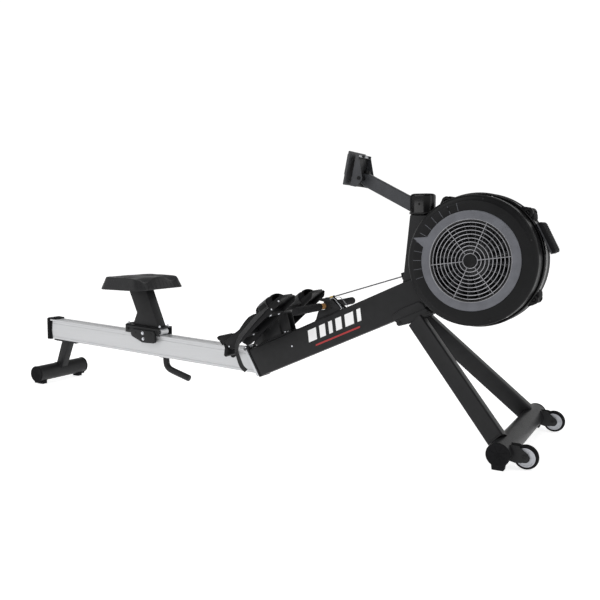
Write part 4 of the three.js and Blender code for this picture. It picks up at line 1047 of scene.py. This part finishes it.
def build_footboards():
    wall = foot_outline([(0.036, 0.0035), (0.35, 0.0035), (0.358, 0.0015), (0.3615, -0.006),
                         (0.345, -0.022), (0.2, -0.034), (0.066, -0.047), (0.046, -0.04), (0.035, -0.02)])
    lobe = foot_outline([(0.115, 0.003), (0.14, 0.01), (0.165, 0.0165), (0.19, 0.02), (0.215, 0.0165),
                         (0.24, 0.007), (0.252, 0.003)])
    lip = foot_outline([(0.345, -0.005), (0.356, -0.005), (0.359, 0.002), (0.358, 0.0085), (0.3545, 0.009),
                        (0.3525, 0.003)])
    heel_tab = foot_outline([(0.019, 0.003), (0.007, 0.003), (0.004, -0.01), (-0.019, -0.033),
                             (-0.015, -0.044), (-0.005, -0.042), (0.017, -0.019)])
    for name, side in SIDES.items():
        board = Piece(f"footboard_{name}_moulding", "frame", "black_plastic", PLASTIC)
        foot_box(board, (0.084, 0.357), (side * 0.07, side * 0.124), (-0.005, 0.0), 0.002)
        foot_box(board, (0.084, 0.357), (side * 0.136, side * 0.19), (-0.005, 0.0), 0.002)
        foot_box(board, (0.19, 0.357), (side * 0.122, side * 0.138), (-0.005, 0.0), 0.0005)
        foot_box(board, (0.084, 0.1), (side * 0.122, side * 0.138), (-0.005, 0.0), 0.0005)
        for y in (0.07, 0.1845):
            board.prism(wall, *span(side, y, y + 0.0055), bevel=0.0018)
        for y in (0.0765, 0.1795):
            board.prism(lobe, *span(side, y, y + 0.004), bevel=0.0012)
        for i in range(8):
            along = 0.224 + 0.0165 * i
            foot_box(board, (along, along + 0.0055), (side * 0.084, side * 0.176), (-0.001, 0.0022), 0.0008)
        board.prism(lip, *span(side, 0.08, 0.18), bevel=0.0014)
        for along, y in ((0.318, 0.104), (0.318, 0.156), (0.235, 0.09), (0.235, 0.17)):
            bx, bz = foot_at(along, 0.0015)
            board.bolt((bx, side * y, bz), FOOT_OUT, 0.005, 0.0024, DARK)
        for along, out in ((0.348, -0.011), (0.302, -0.018), (0.045, -0.025)):
            bx, bz = foot_at(along, out)
            board.bolt((bx, side * 0.1898, bz), (0, side, 0), 0.0038, 0.0022, STEEL)
        board.done(f"footboard_{name}")

        cup = Piece(f"heel_cup_{name}_moulding", f"heel_{name}", "black_plastic", PLASTIC)
        foot_box(cup, (0.014, 0.168), (side * 0.086, side * 0.174), (0.0004, 0.0052), 0.0015)
        foot_box(cup, (0.008, 0.018), (side * 0.083, side * 0.177), (0.0005, 0.037), 0.0035, 3)
        foot_box(cup, (0.005, 0.021), (side * 0.082, side * 0.178), (0.027, 0.042), 0.004, 3)
        cheek = foot_outline([(0.01, 0.001), (0.08, 0.001), (0.07, 0.014), (0.022, 0.038), (0.01, 0.04)])
        for y in (0.083, 0.1725):
            cup.prism(cheek, *span(side, y, y + 0.0045), bevel=0.0015)
        cup.prism(heel_tab, *span(side, 0.096, 0.164), bevel=0.003, steps=3)
        for i in range(6):
            along = 0.038 + 0.019 * i
            foot_box(cup, (along, along + 0.006), (side * 0.092, side * 0.168), (0.005, 0.0066), 0.0007)
        for along, y in ((0.03, 0.112), (0.03, 0.148), (0.16, 0.13)):
            bx, bz = foot_at(along, 0.0052)
            cup.bolt((bx, side * y, bz), FOOT_OUT, 0.0045, 0.0022, DARK)
        cup.done(f"heel_cup_{name}")


def arch_over(side, along, spots, steps):
    """A smooth path over one footboard, from spots across it and out from it."""
    path = []
    for v, out in spots:
        x, z = foot_at(along, out)
        path.append((x, side * (0.13 + v), z))
    return smooth_path(path, steps)


def build_straps():
    """Toe straps: an arch over the toes, and a loose tail twisting down the outer side."""
    slope = Vector((math.cos(FOOT_TURN), 0, math.sin(FOOT_TURN)))
    for name, side in SIDES.items():
        arch = arch_over(side, 0.274, ((-0.0625, -0.01), (-0.064, 0.004), (-0.06, 0.016), (-0.049, 0.028),
                                       (-0.029, 0.037), (-0.005, 0.0405), (0.022, 0.0385), (0.044, 0.031),
                                       (0.057, 0.021), (0.062, 0.009), (0.0625, -0.006)), 6)
        strap = Piece(f"toe_strap_{name}_webbing", "frame", "webbing", WEBBING)
        strap.ribbon(arch, [slope] * len(arch), 0.044, 0.0028)
        pad = arch_over(side, 0.278, ((-0.056, 0.0035), (-0.0555, 0.012), (-0.046, 0.024), (-0.027, 0.0325),
                                      (-0.004, 0.0355), (0.021, 0.0335), (0.042, 0.026), (0.054, 0.0135),
                                      (0.0555, 0.0035)), 4)
        strap.ribbon(pad, [slope] * len(pad), 0.092, 0.0046, mat=RUBBER)
        for shift in (-0.036, 0.036):
            ridge = [Vector((p.x, p.y, p.z)) + slope * shift for p in pad[4:-4]]
            strap.ribbon(ridge, [slope] * len(ridge), 0.01, 0.0085, mat=RUBBER)
        tail = [(-0.94, 0.1935, 0.466, 8), (-0.956, 0.1945, 0.443, 8), (-0.987, 0.195, 0.413, 8),
                (-1.0265, 0.195, 0.37, 16), (-1.051, 0.1955, 0.343, 34), (-1.066, 0.196, 0.3185, 56),
                (-1.074, 0.1965, 0.2815, 66), (-1.065, 0.197, 0.252, 60), (-1.0485, 0.1975, 0.218, 42),
                (-1.028, 0.1975, 0.202, 30)]
        path = smooth_path([(x, side * y, z) for x, y, z, _ in tail], 6)
        widths = []
        for i, p in enumerate(path):
            k = min(i // 6, len(tail) - 2)
            turn = math.radians(tail[k][3] + (tail[k + 1][3] - tail[k][3]) * (i / 6 - k))
            along = (path[min(i + 1, len(path) - 1)] - path[max(i - 1, 0)]).normalized()
            flat = along.cross(Vector((0, side, 0))).normalized()
            widths.append(flat * math.cos(turn) + Vector((0, side, 0)) * math.sin(turn))
        strap.ribbon(path, widths, 0.017, 0.0022)
        foot_box(strap, (0.256, 0.292), (side * 0.1935, side * 0.1975), (0.002, 0.02), 0.0015, mat=PLASTIC)
        strap.done(f"toe_strap_{name}")


# ---- rail -----------------------------------------------------------------------------------
def build_rail():
    half, track, drop = 0.029, 0.033, 0.0915
    right = [(half - 0.0035, -drop), (half, -drop + 0.0035), (half, -0.0795), (half - 0.0012, -0.0785),
             (half - 0.0012, -0.0765), (half, -0.0755), (half, -0.0135), (half - 0.0012, -0.0125),
             (half - 0.0012, -0.0105), (half, -0.0095), (half, 0.0002), (track - 0.0008, 0.0002),
             (track, 0.001), (track, 0.0068), (track - 0.0012, 0.008), (0.0076, 0.008), (0.007, 0.0074),
             (0.007, 0.006)]
    section = right + [(-y, z) for y, z in reversed(right)]
    back = [(-2.308, y, rail_top(-2.308) + dz) for y, dz in section]
    front = []
    for y, dz in section:
        x, z = mitre_meets(lambda at: rail_top(at) + dz, -0.0163)
        front.append((x, y, z))
    hollow = Piece("hollow", "rail", "aluminium", ALLOY)
    outline = [on(rail_bottom, -1.45, 0.0026), mitre_meets(lambda at: rail_bottom(at) + 0.0026, 0.02),
               mitre_meets(lambda at: rail_top(at) - 0.0026, 0.02), on(rail_top, -1.45, -0.0026)]
    hollow.prism(outline, -0.0264, 0.0264, bevel=0)
    bore = Piece("bore", "rail", "aluminium", ALLOY)
    bore.pin(LOCK[0], LOCK[1], -0.04, -0.01, 0.0057, 32, bevel=0)
    rail = Piece("rail_extrusion", "rail", "aluminium", ALLOY)
    rail.loft([back, front])
    rail.cut(hollow, bore)
    rail.done("rail", smooth=30)

    plate = Piece("rail_mitre_casting", "rail", "aluminium", CAST)
    outline = patch(mitre, (-0.006, 0.116), (-0.016, -0.0004))
    plate.prism(outline, -0.031, 0.031, bevel=0.0022, steps=3)
    hx, hz = mitre(-0.016, 0)
    slot = Piece("slot", "rail", "aluminium", CAST)
    slot.prism([*arc(hx, hz, 0.0765, 190, 330, 20), *arc(hx, hz, 0.0475, 330, 190, 20)], -0.0145, 0.0145,
               bevel=0)
    plate.cut(slot)
    ear = [mitre(-0.012, -0.012), mitre(-0.002, -0.012), mitre(-0.002, -0.0002), mitre(-0.016, -0.0002)]
    plate.prism(ear, -0.0138, 0.0138, bevel=0.001)
    plate.lathe(both([(0.0036, -0.0139), (0.0066, -0.0139), (0.007, -0.0135)]), hx, hz, sides=32)
    for down in (0.018, 0.094):
        for side in (-1, 1):
            x, z = mitre(down, -0.008)
            plate.bolt((x, side * 0.031, z), (0, side, 0), 0.004, 0.0015, STEEL)
    plate.done("rail_end_plate")

    lock = Piece("lock_knob", "lock", "black_plastic", STEEL)
    lx, lz = LOCK
    lock.pin(lx, lz, -0.016, -0.044, 0.005, 20)
    lock.disc([(0, -0.042), (0.0095, -0.042), (0.01, -0.0435), (0.0085, -0.046), (0.0125, -0.05),
               (0.013, -0.052), (0.013, -0.0555), (0.0118, -0.0577), (0.007, -0.058), (0, -0.0578)], lx, lz,
              sides=40, mat=PLASTIC)
    lock.lathe([(0.0052, -0.0293), (0.0095, -0.0293), (0.0095, -0.036), (0.0085, -0.037), (0.0052, -0.037)],
               lx, lz, sides=6)
    lock.done("lock_pin")


def build_rail_end():
    cap = Piece("rail_rear_cap", "rail", "rubber", RUBBER)
    low, high = -2.327, -2.3083
    face = [on(rail_bottom, low, -0.003), on(rail_bottom, high, -0.002), on(track_top, high, 0.0045),
            (low + 0.003, track_top(low) + 0.004), on(track_top, low, 0.001)]
    cap.prism(face, -0.036, 0.036, bevel=0.003, steps=3)
    top = [(high - 0.004, track_top(high) + 0.0003), on(track_top, -2.279, 0.0003),
           on(track_top, -2.2775, 0.003), on(track_top, -2.281, 0.0066),
           (high - 0.004, track_top(high) + 0.0076), (low + 0.006, track_top(low) + 0.0066)]
    cap.prism(top, -0.0345, 0.0345, bevel=0.0012)
    wrap = [(high - 0.004, rail_bottom(high) - 0.0025), on(rail_bottom, -2.295, -0.0004),
            on(rail_top, -2.3005, -0.045), on(rail_top, -2.295, -0.001),
            (high - 0.004, rail_top(high) - 0.001)]
    cap.mirrored(wrap, 0.0293, 0.0325, bevel=0.001)
    for side in (-1, 1):
        cap.bolt((-2.295, side * 0.0255, track_top(-2.295) + 0.005), (0, 0, 1), 0.0048, 0.0022, STEEL)
        for z in (0.228, 0.292):
            cap.bolt((low, side * 0.024, z), (-1, 0, 0), 0.0042, 0.0008, DARK)
    cap.done("rail_end_cap")


def build_rear_foot():
    foot = Piece("rear_foot_frame", "rail", "painted_steel", PAINT)
    foot.prism(strip(rail_bottom, -2.287, -2.136, -0.0003, -0.0055), -0.03, 0.03, bevel=0.0018)
    post = [(-2.242, 0.206), (-2.1935, 0.204), (-2.256, 0.048), (-2.301, 0.048)]
    foot.prism(post, -0.02, 0.02, bevel=0.004, steps=3)
    floor_tube(foot, REAR_BAR, 0.146)
    weld = both([(0.0384, -0.024), (0.04, -0.0225)])
    foot.lathe(weld, REAR_BAR, BAR_HEIGHT, sides=24, start=20, turn=90)
    for x in (-2.274, -2.15):
        for side in (-1, 1):
            foot.bolt((x, side * 0.018, rail_bottom(x) - 0.0055), (0, 0, -1), 0.0055, 0.003, STEEL)
    foot.done("rear_foot")
    for name, side in SIDES.items():
        end_cap(f"rear_bar_cap_{name}", "rail", f"rear_cap_{name}", REAR_BAR, side, 0.146, inset=0.018)


def build_lift_handle():
    lift = Piece("lift_bar", "rail", "painted_steel", PAINT)
    top = rail_bottom(-1.595) - 0.0005
    path = smooth_path([(-1.595, 0, top), (-1.5945, 0, top - 0.02), (-1.59, 0, 0.138), (-1.576, 0, 0.124),
                        (-1.553, 0, 0.115), (-1.51, 0, 0.103), (-1.4655, 0, 0.0907)], 6)
    lift.sweep(path, circle(0.0145, 28), up=(0, 1, 0))
    way = (path[-1] - path[-2]).normalized()
    high = way.cross(Vector((0, 1, 0)))
    tip = []
    for ahead, radius in ((-0.0008, 0.0146), (0.001, 0.0142), (0.0024, 0.0128), (0.0033, 0.01)):
        tip.append([path[-1] + way * ahead + Vector((0, 1, 0)) * u + high * v for u,
                    v in circle(radius, 28)])
    lift.loft(tip)
    lift.prism(strip(rail_bottom, -1.619, -1.573, -0.0003, -0.0038), -0.02, 0.02, bevel=0.001)
    lift.bolt((-1.6145, 0.0, rail_bottom(-1.6145) - 0.0038), (0, 0, -1), 0.0042, 0.003, STEEL)
    lift.done("lift_handle")


# ---- seat and carriage ----------------------------------------------------------------------
SEAT_MID, SEAT_HALF = -1.7305, (0.1215, 0.171)


def ease(t):
    t = min(1.0, max(0.0, t))
    return t * t * (3 - 2 * t)


def seat_height(x, y):
    """The seat's top surface: two dishes, and a channel for each leg at the front."""
    u, v = (x - SEAT_MID) / SEAT_HALF[0], abs(y) / SEAT_HALF[1]
    z = 0.5462
    z -= 0.012 * math.exp(-((u + 0.16) / 0.4) ** 2 - ((v - 0.44) / 0.27) ** 2)
    z -= 0.025 * ease((u + 0.1) / 0.95) * math.exp(-((v - 0.54) / 0.25) ** 2)
    z += 0.0022 * ease((v - 0.72) / 0.25) * ease((-u - 0.3) / 0.6)
    return z


def seat_outline(inset):
    a, b, corner = SEAT_HALF[0] - inset, SEAT_HALF[1] - inset, 0.051 - inset * 0.5
    base = round_section(2 * a, 2 * b, corner, count=7)
    points = []
    for i, (x, y) in enumerate(base):
        nx, ny = base[(i + 1) % len(base)]
        steps = 18 if math.hypot(nx - x, ny - y) > 0.05 else 1
        for k in range(steps):
            points.append((SEAT_MID + x + (nx - x) * k / steps, y + (ny - y) * k / steps))
    return points


def build_seat():
    rings = []
    for inset, lift in ((0.02, 0.523), (0.014, 0.496)):
        rings.append([(x, y, lift) for x, y in seat_outline(inset)])
    for inset, share in ((0.004, 0.0), (0.0008, 0.006), (0.0, 0.04), (0.0006, 0.1), (0.004, 0.26),
                         (0.0082, 0.46), (0.0125, 0.68), (0.016, 0.86), (0.0178, 0.94), (0.02, 0.985)):
        ring = []
        for x, y in seat_outline(inset):
            ring.append((x, y, 0.49 + (seat_height(x, y) - 0.49) * share))
        rings.append(ring)
    edge = seat_outline(0.0235)
    for k in range(15):
        s = 1 - k / 15
        spots = [(SEAT_MID + (x - SEAT_MID) * s, y * s) for x, y in edge]
        rings.append([(x, y, seat_height(x, y)) for x, y in spots])
    seat = Piece("seat_moulding", "seat", "seat_foam", SEAT_SKIN)
    seat.loft(rings)
    low, high = seat_outline(0.0), seat_outline(0.015)
    for i in range(0, len(low), 2):
        (x, y), (top_x, top_y) = low[i], high[i]
        zt = 0.49 + (seat_height(top_x, top_y) - 0.49) * 0.8
        seat.rod((SEAT_MID + (x - SEAT_MID) * 0.997, y * 0.997, 0.4945), (top_x, top_y, zt), 0.0006, 6,
                 bevel=0)
    seat.done("seat_pad", smooth=60)

    post = Piece("seat_post_tube", "seat", "painted_steel", PAINT)
    outline = [(-1.7938, 0.489), (-1.744, 0.3758), (-1.7664, 0.325), on(track_top, -1.767, 0.0363),
               on(track_top, -1.6165, 0.0363), (-1.6194, 0.3221), (-1.6887, 0.489)]
    post.prism(outline, -0.027, 0.027, bevel=0.0032, steps=3)
    top = [(-1.805, 0.483), (-1.676, 0.483), (-1.676, 0.4895), (-1.805, 0.4895)]
    post.prism(top, -0.06, 0.06, bevel=0.0015)
    rim = [on(track_top, -1.769, 0.0363), on(track_top, -1.6145, 0.0363), on(track_top, -1.615, 0.04),
           on(track_top, -1.768, 0.04)]
    post.prism(rim, -0.029, 0.029, bevel=0.001)
    post.done("seat_post")


def build_carriage():
    body = Piece("carriage_frame", "seat", "painted_steel", STEEL)
    rear, front = -1.797, -1.597
    body.prism(strip(track_top, rear, front, 0.03, 0.036), -0.047, 0.047, bevel=0.0012, mat=PAINT)
    body.mirrored(strip(track_top, rear, front, -0.002, 0.0358), 0.0415, 0.047, bevel=0.0012, mat=PAINT)
    body.prism(strip(track_top, -1.7935, -1.789, 0.004, 0.04), -0.04, 0.04, bevel=0.001, mat=PAINT)
    cheek = [on(track_top, -1.757, -0.008), (-1.748, 0.268), (-1.69, 0.244), (-1.674, 0.243),
             (-1.622, 0.244), (-1.6155, 0.25), (-1.615, 0.2905), (-1.623, 0.299), (-1.745, 0.3045),
             (-1.757, 0.298)]
    body.mirrored(cheek, 0.0412, 0.0568, bevel=0.0024, steps=3, mat=PAINT)
    guide_z = rail_top(GUIDE) - 0.0093
    for side in (-1, 1):
        for x, z, r in ((-1.6856, 0.2871, 0.0058), (-1.6825, 0.261, 0.005)):
            body.pin(x, z, side * 0.0566, side * 0.0578, r + 0.0022, 24, 0.0004)
            body.pin(x, z, side * 0.0575, side * 0.0606, r, 6, 0.0006)
        for x in (-1.638, -1.73):
            body.bolt((x, side * 0.0568, 0.288), (0, side, 0), 0.0042, 0.0018, DARK)
        body.pin(GUIDE, guide_z, side * 0.0305, side * 0.042, 0.0032, 16)
        for x in (-1.79, -1.608):
            y, z = side * 0.03, track_top(x)
            body.rod((x, y, z + 0.0355), (x, y, z + 0.0435), 0.0052, 6, 0.0006)
            body.rod((x, y, z + 0.0435), (x, y, z + 0.0465), 0.003, 16, 0.0006)
    for x in AXLES.values():
        z = track_top(x) + AXLE_LIFT
        body.pin(x, z, -0.049, 0.049, 0.004, 20)
        for side in (-1, 1):
            body.pin(x, z, side * 0.0468, side * 0.0505, 0.0068, 6, 0.0006, mat=PAINT)
    body.done("seat_carriage")

    for name, x in AXLES.items():
        z = track_top(x) + AXLE_LIFT
        roller = Piece(f"track_roller_{name}", f"roller_{name}", "nylon", NYLON_AND_PAINTED_SLOT_LIGHT)
        roller.lathe(both([(0.0046, -0.025), (0.0128, -0.025), (0.014, -0.0238), (0.014, -0.0085),
                           (0.0134, -0.0075)]), x, z, sides=56)
        for side in (-1, 1):
            roller.lathe([(0.0048, side * 0.0249), (0.009, side * 0.0249), (0.0088, side * 0.0256),
                          (0.005, side * 0.0256)], x, z, sides=40, mat=STEEL)
        roller.done(f"roller_{name}")
    for name, side in SIDES.items():
        guide = Piece(f"under_roller_{name}", f"guide_{name}", "nylon", NYLON_AND_PAINTED_SLOT_LIGHT)
        guide.lathe([(0.0038, side * 0.0301), (0.0082, side * 0.0301), (0.009, side * 0.0309),
                     (0.009, side * 0.0371), (0.0082, side * 0.0379), (0.0038, side * 0.0379)], GUIDE,
                    guide_z, sides=40)
        guide.done(f"guide_roller_{name}")


for build in (build_beam, build_saddle, build_legs, build_front_bar, build_wheels, build_post, build_arm,
              build_console, build_drum, build_band, build_grille, build_damper, build_fan_inside,
              build_bumper, build_handle, build_swivel, build_chain, build_holder, build_foot_bracket,
              build_footboards, build_straps, build_rail, build_rail_end, build_rear_foot,
              build_lift_handle, build_seat, build_carriage):
    build()


# ---- floor, light and camera ----------------------------------------------------------------
def build_stage():
    mat = material("pale_floor", (0.86, 0.86, 0.86), 0.6, vary=0.01, scale=2, level=0.1)
    shader = mat.node_tree.nodes["Principled BSDF"]
    shader.inputs["Emission Color"].default_value = (1, 1, 1, 1)
    shader.inputs["Emission Strength"].default_value = 0.74
    mesh = bpy.data.meshes.new("floor")
    bm = bmesh.new()
    bmesh.ops.create_circle(bm, cap_ends=True, segments=64, radius=30)
    bmesh.ops.translate(bm, verts=bm.verts, vec=(0, 0, -0.0005))
    bm.to_mesh(mesh)
    bm.free()
    mesh.materials.append(mat)
    floor = bpy.data.objects.new("floor", mesh)
    bpy.context.collection.objects.link(floor)


def area_light(name, at, aim, size, power):
    data = bpy.data.lights.new(name, "AREA")
    data.shape, data.size, data.size_y = "RECTANGLE", size[0], size[1]
    data.energy = power
    obj = bpy.data.objects.new(name, data)
    obj.location = at
    obj.rotation_euler = (Vector(aim) - Vector(at)).to_track_quat("-Z", "Y").to_euler()
    bpy.context.collection.objects.link(obj)


def build_light():
    """White near the horizon and dimmer overhead, with a soft key, a rim and a top light."""
    world = bpy.data.worlds.new("studio")
    bpy.context.scene.world = world
    world.use_nodes = True
    nodes, links = world.node_tree.nodes, world.node_tree.links
    place = nodes.new("ShaderNodeTexCoord")
    split = nodes.new("ShaderNodeSeparateXYZ")
    links.new(place.outputs["Generated"], split.inputs["Vector"])
    height = nodes.new("ShaderNodeMapRange")
    height.interpolation_type = "SMOOTHSTEP"
    for socket, value in (("From Min", 0.3), ("From Max", 0.62), ("To Min", 1.06), ("To Max", 0.2)):
        height.inputs[socket].default_value = value
    links.new(split.outputs["Z"], height.inputs["Value"])
    links.new(height.outputs["Result"], nodes["Background"].inputs["Strength"])
    nodes["Background"].inputs["Color"].default_value = (1, 1, 1, 1)
    area_light("key", (-1.6, -3.4, 3.6), (0, 0, 0.4), (2.6, 2.0), 60)
    area_light("rim", (3.4, -0.4, 2.2), (0.9, 0, 0.6), (0.8, 2.4), 12)
    area_light("top", (0.3, 0.6, 4.2), (0.1, 0, 0.4), (3.0, 1.6), 18)


def build_camera():
    yaw, pitch, roll = math.radians(28.862), math.radians(5.585), math.radians(0.321)
    ahead = Vector((-math.sin(yaw) * math.cos(pitch), math.cos(yaw) * math.cos(pitch), -math.sin(pitch)))
    right = Vector((math.cos(yaw), math.sin(yaw), 0))
    up = right.cross(ahead)
    side = math.cos(roll) * right + math.sin(roll) * up
    high = -math.sin(roll) * right + math.cos(roll) * up
    data = bpy.data.cameras.new("camera")
    data.lens, data.sensor_width = 43.36, 36
    cam = bpy.data.objects.new("camera", data)
    turn = Matrix((side, high, -ahead)).transposed()
    cam.matrix_world = Matrix.Translation((0.5301 + ORIGIN, -2.5827, 0.7651)) @ turn.to_4x4()
    bpy.context.collection.objects.link(cam)
    bpy.context.scene.camera = cam


build_stage()
build_light()
build_camera()
bpy.context.scene.view_settings.view_transform = "Standard"
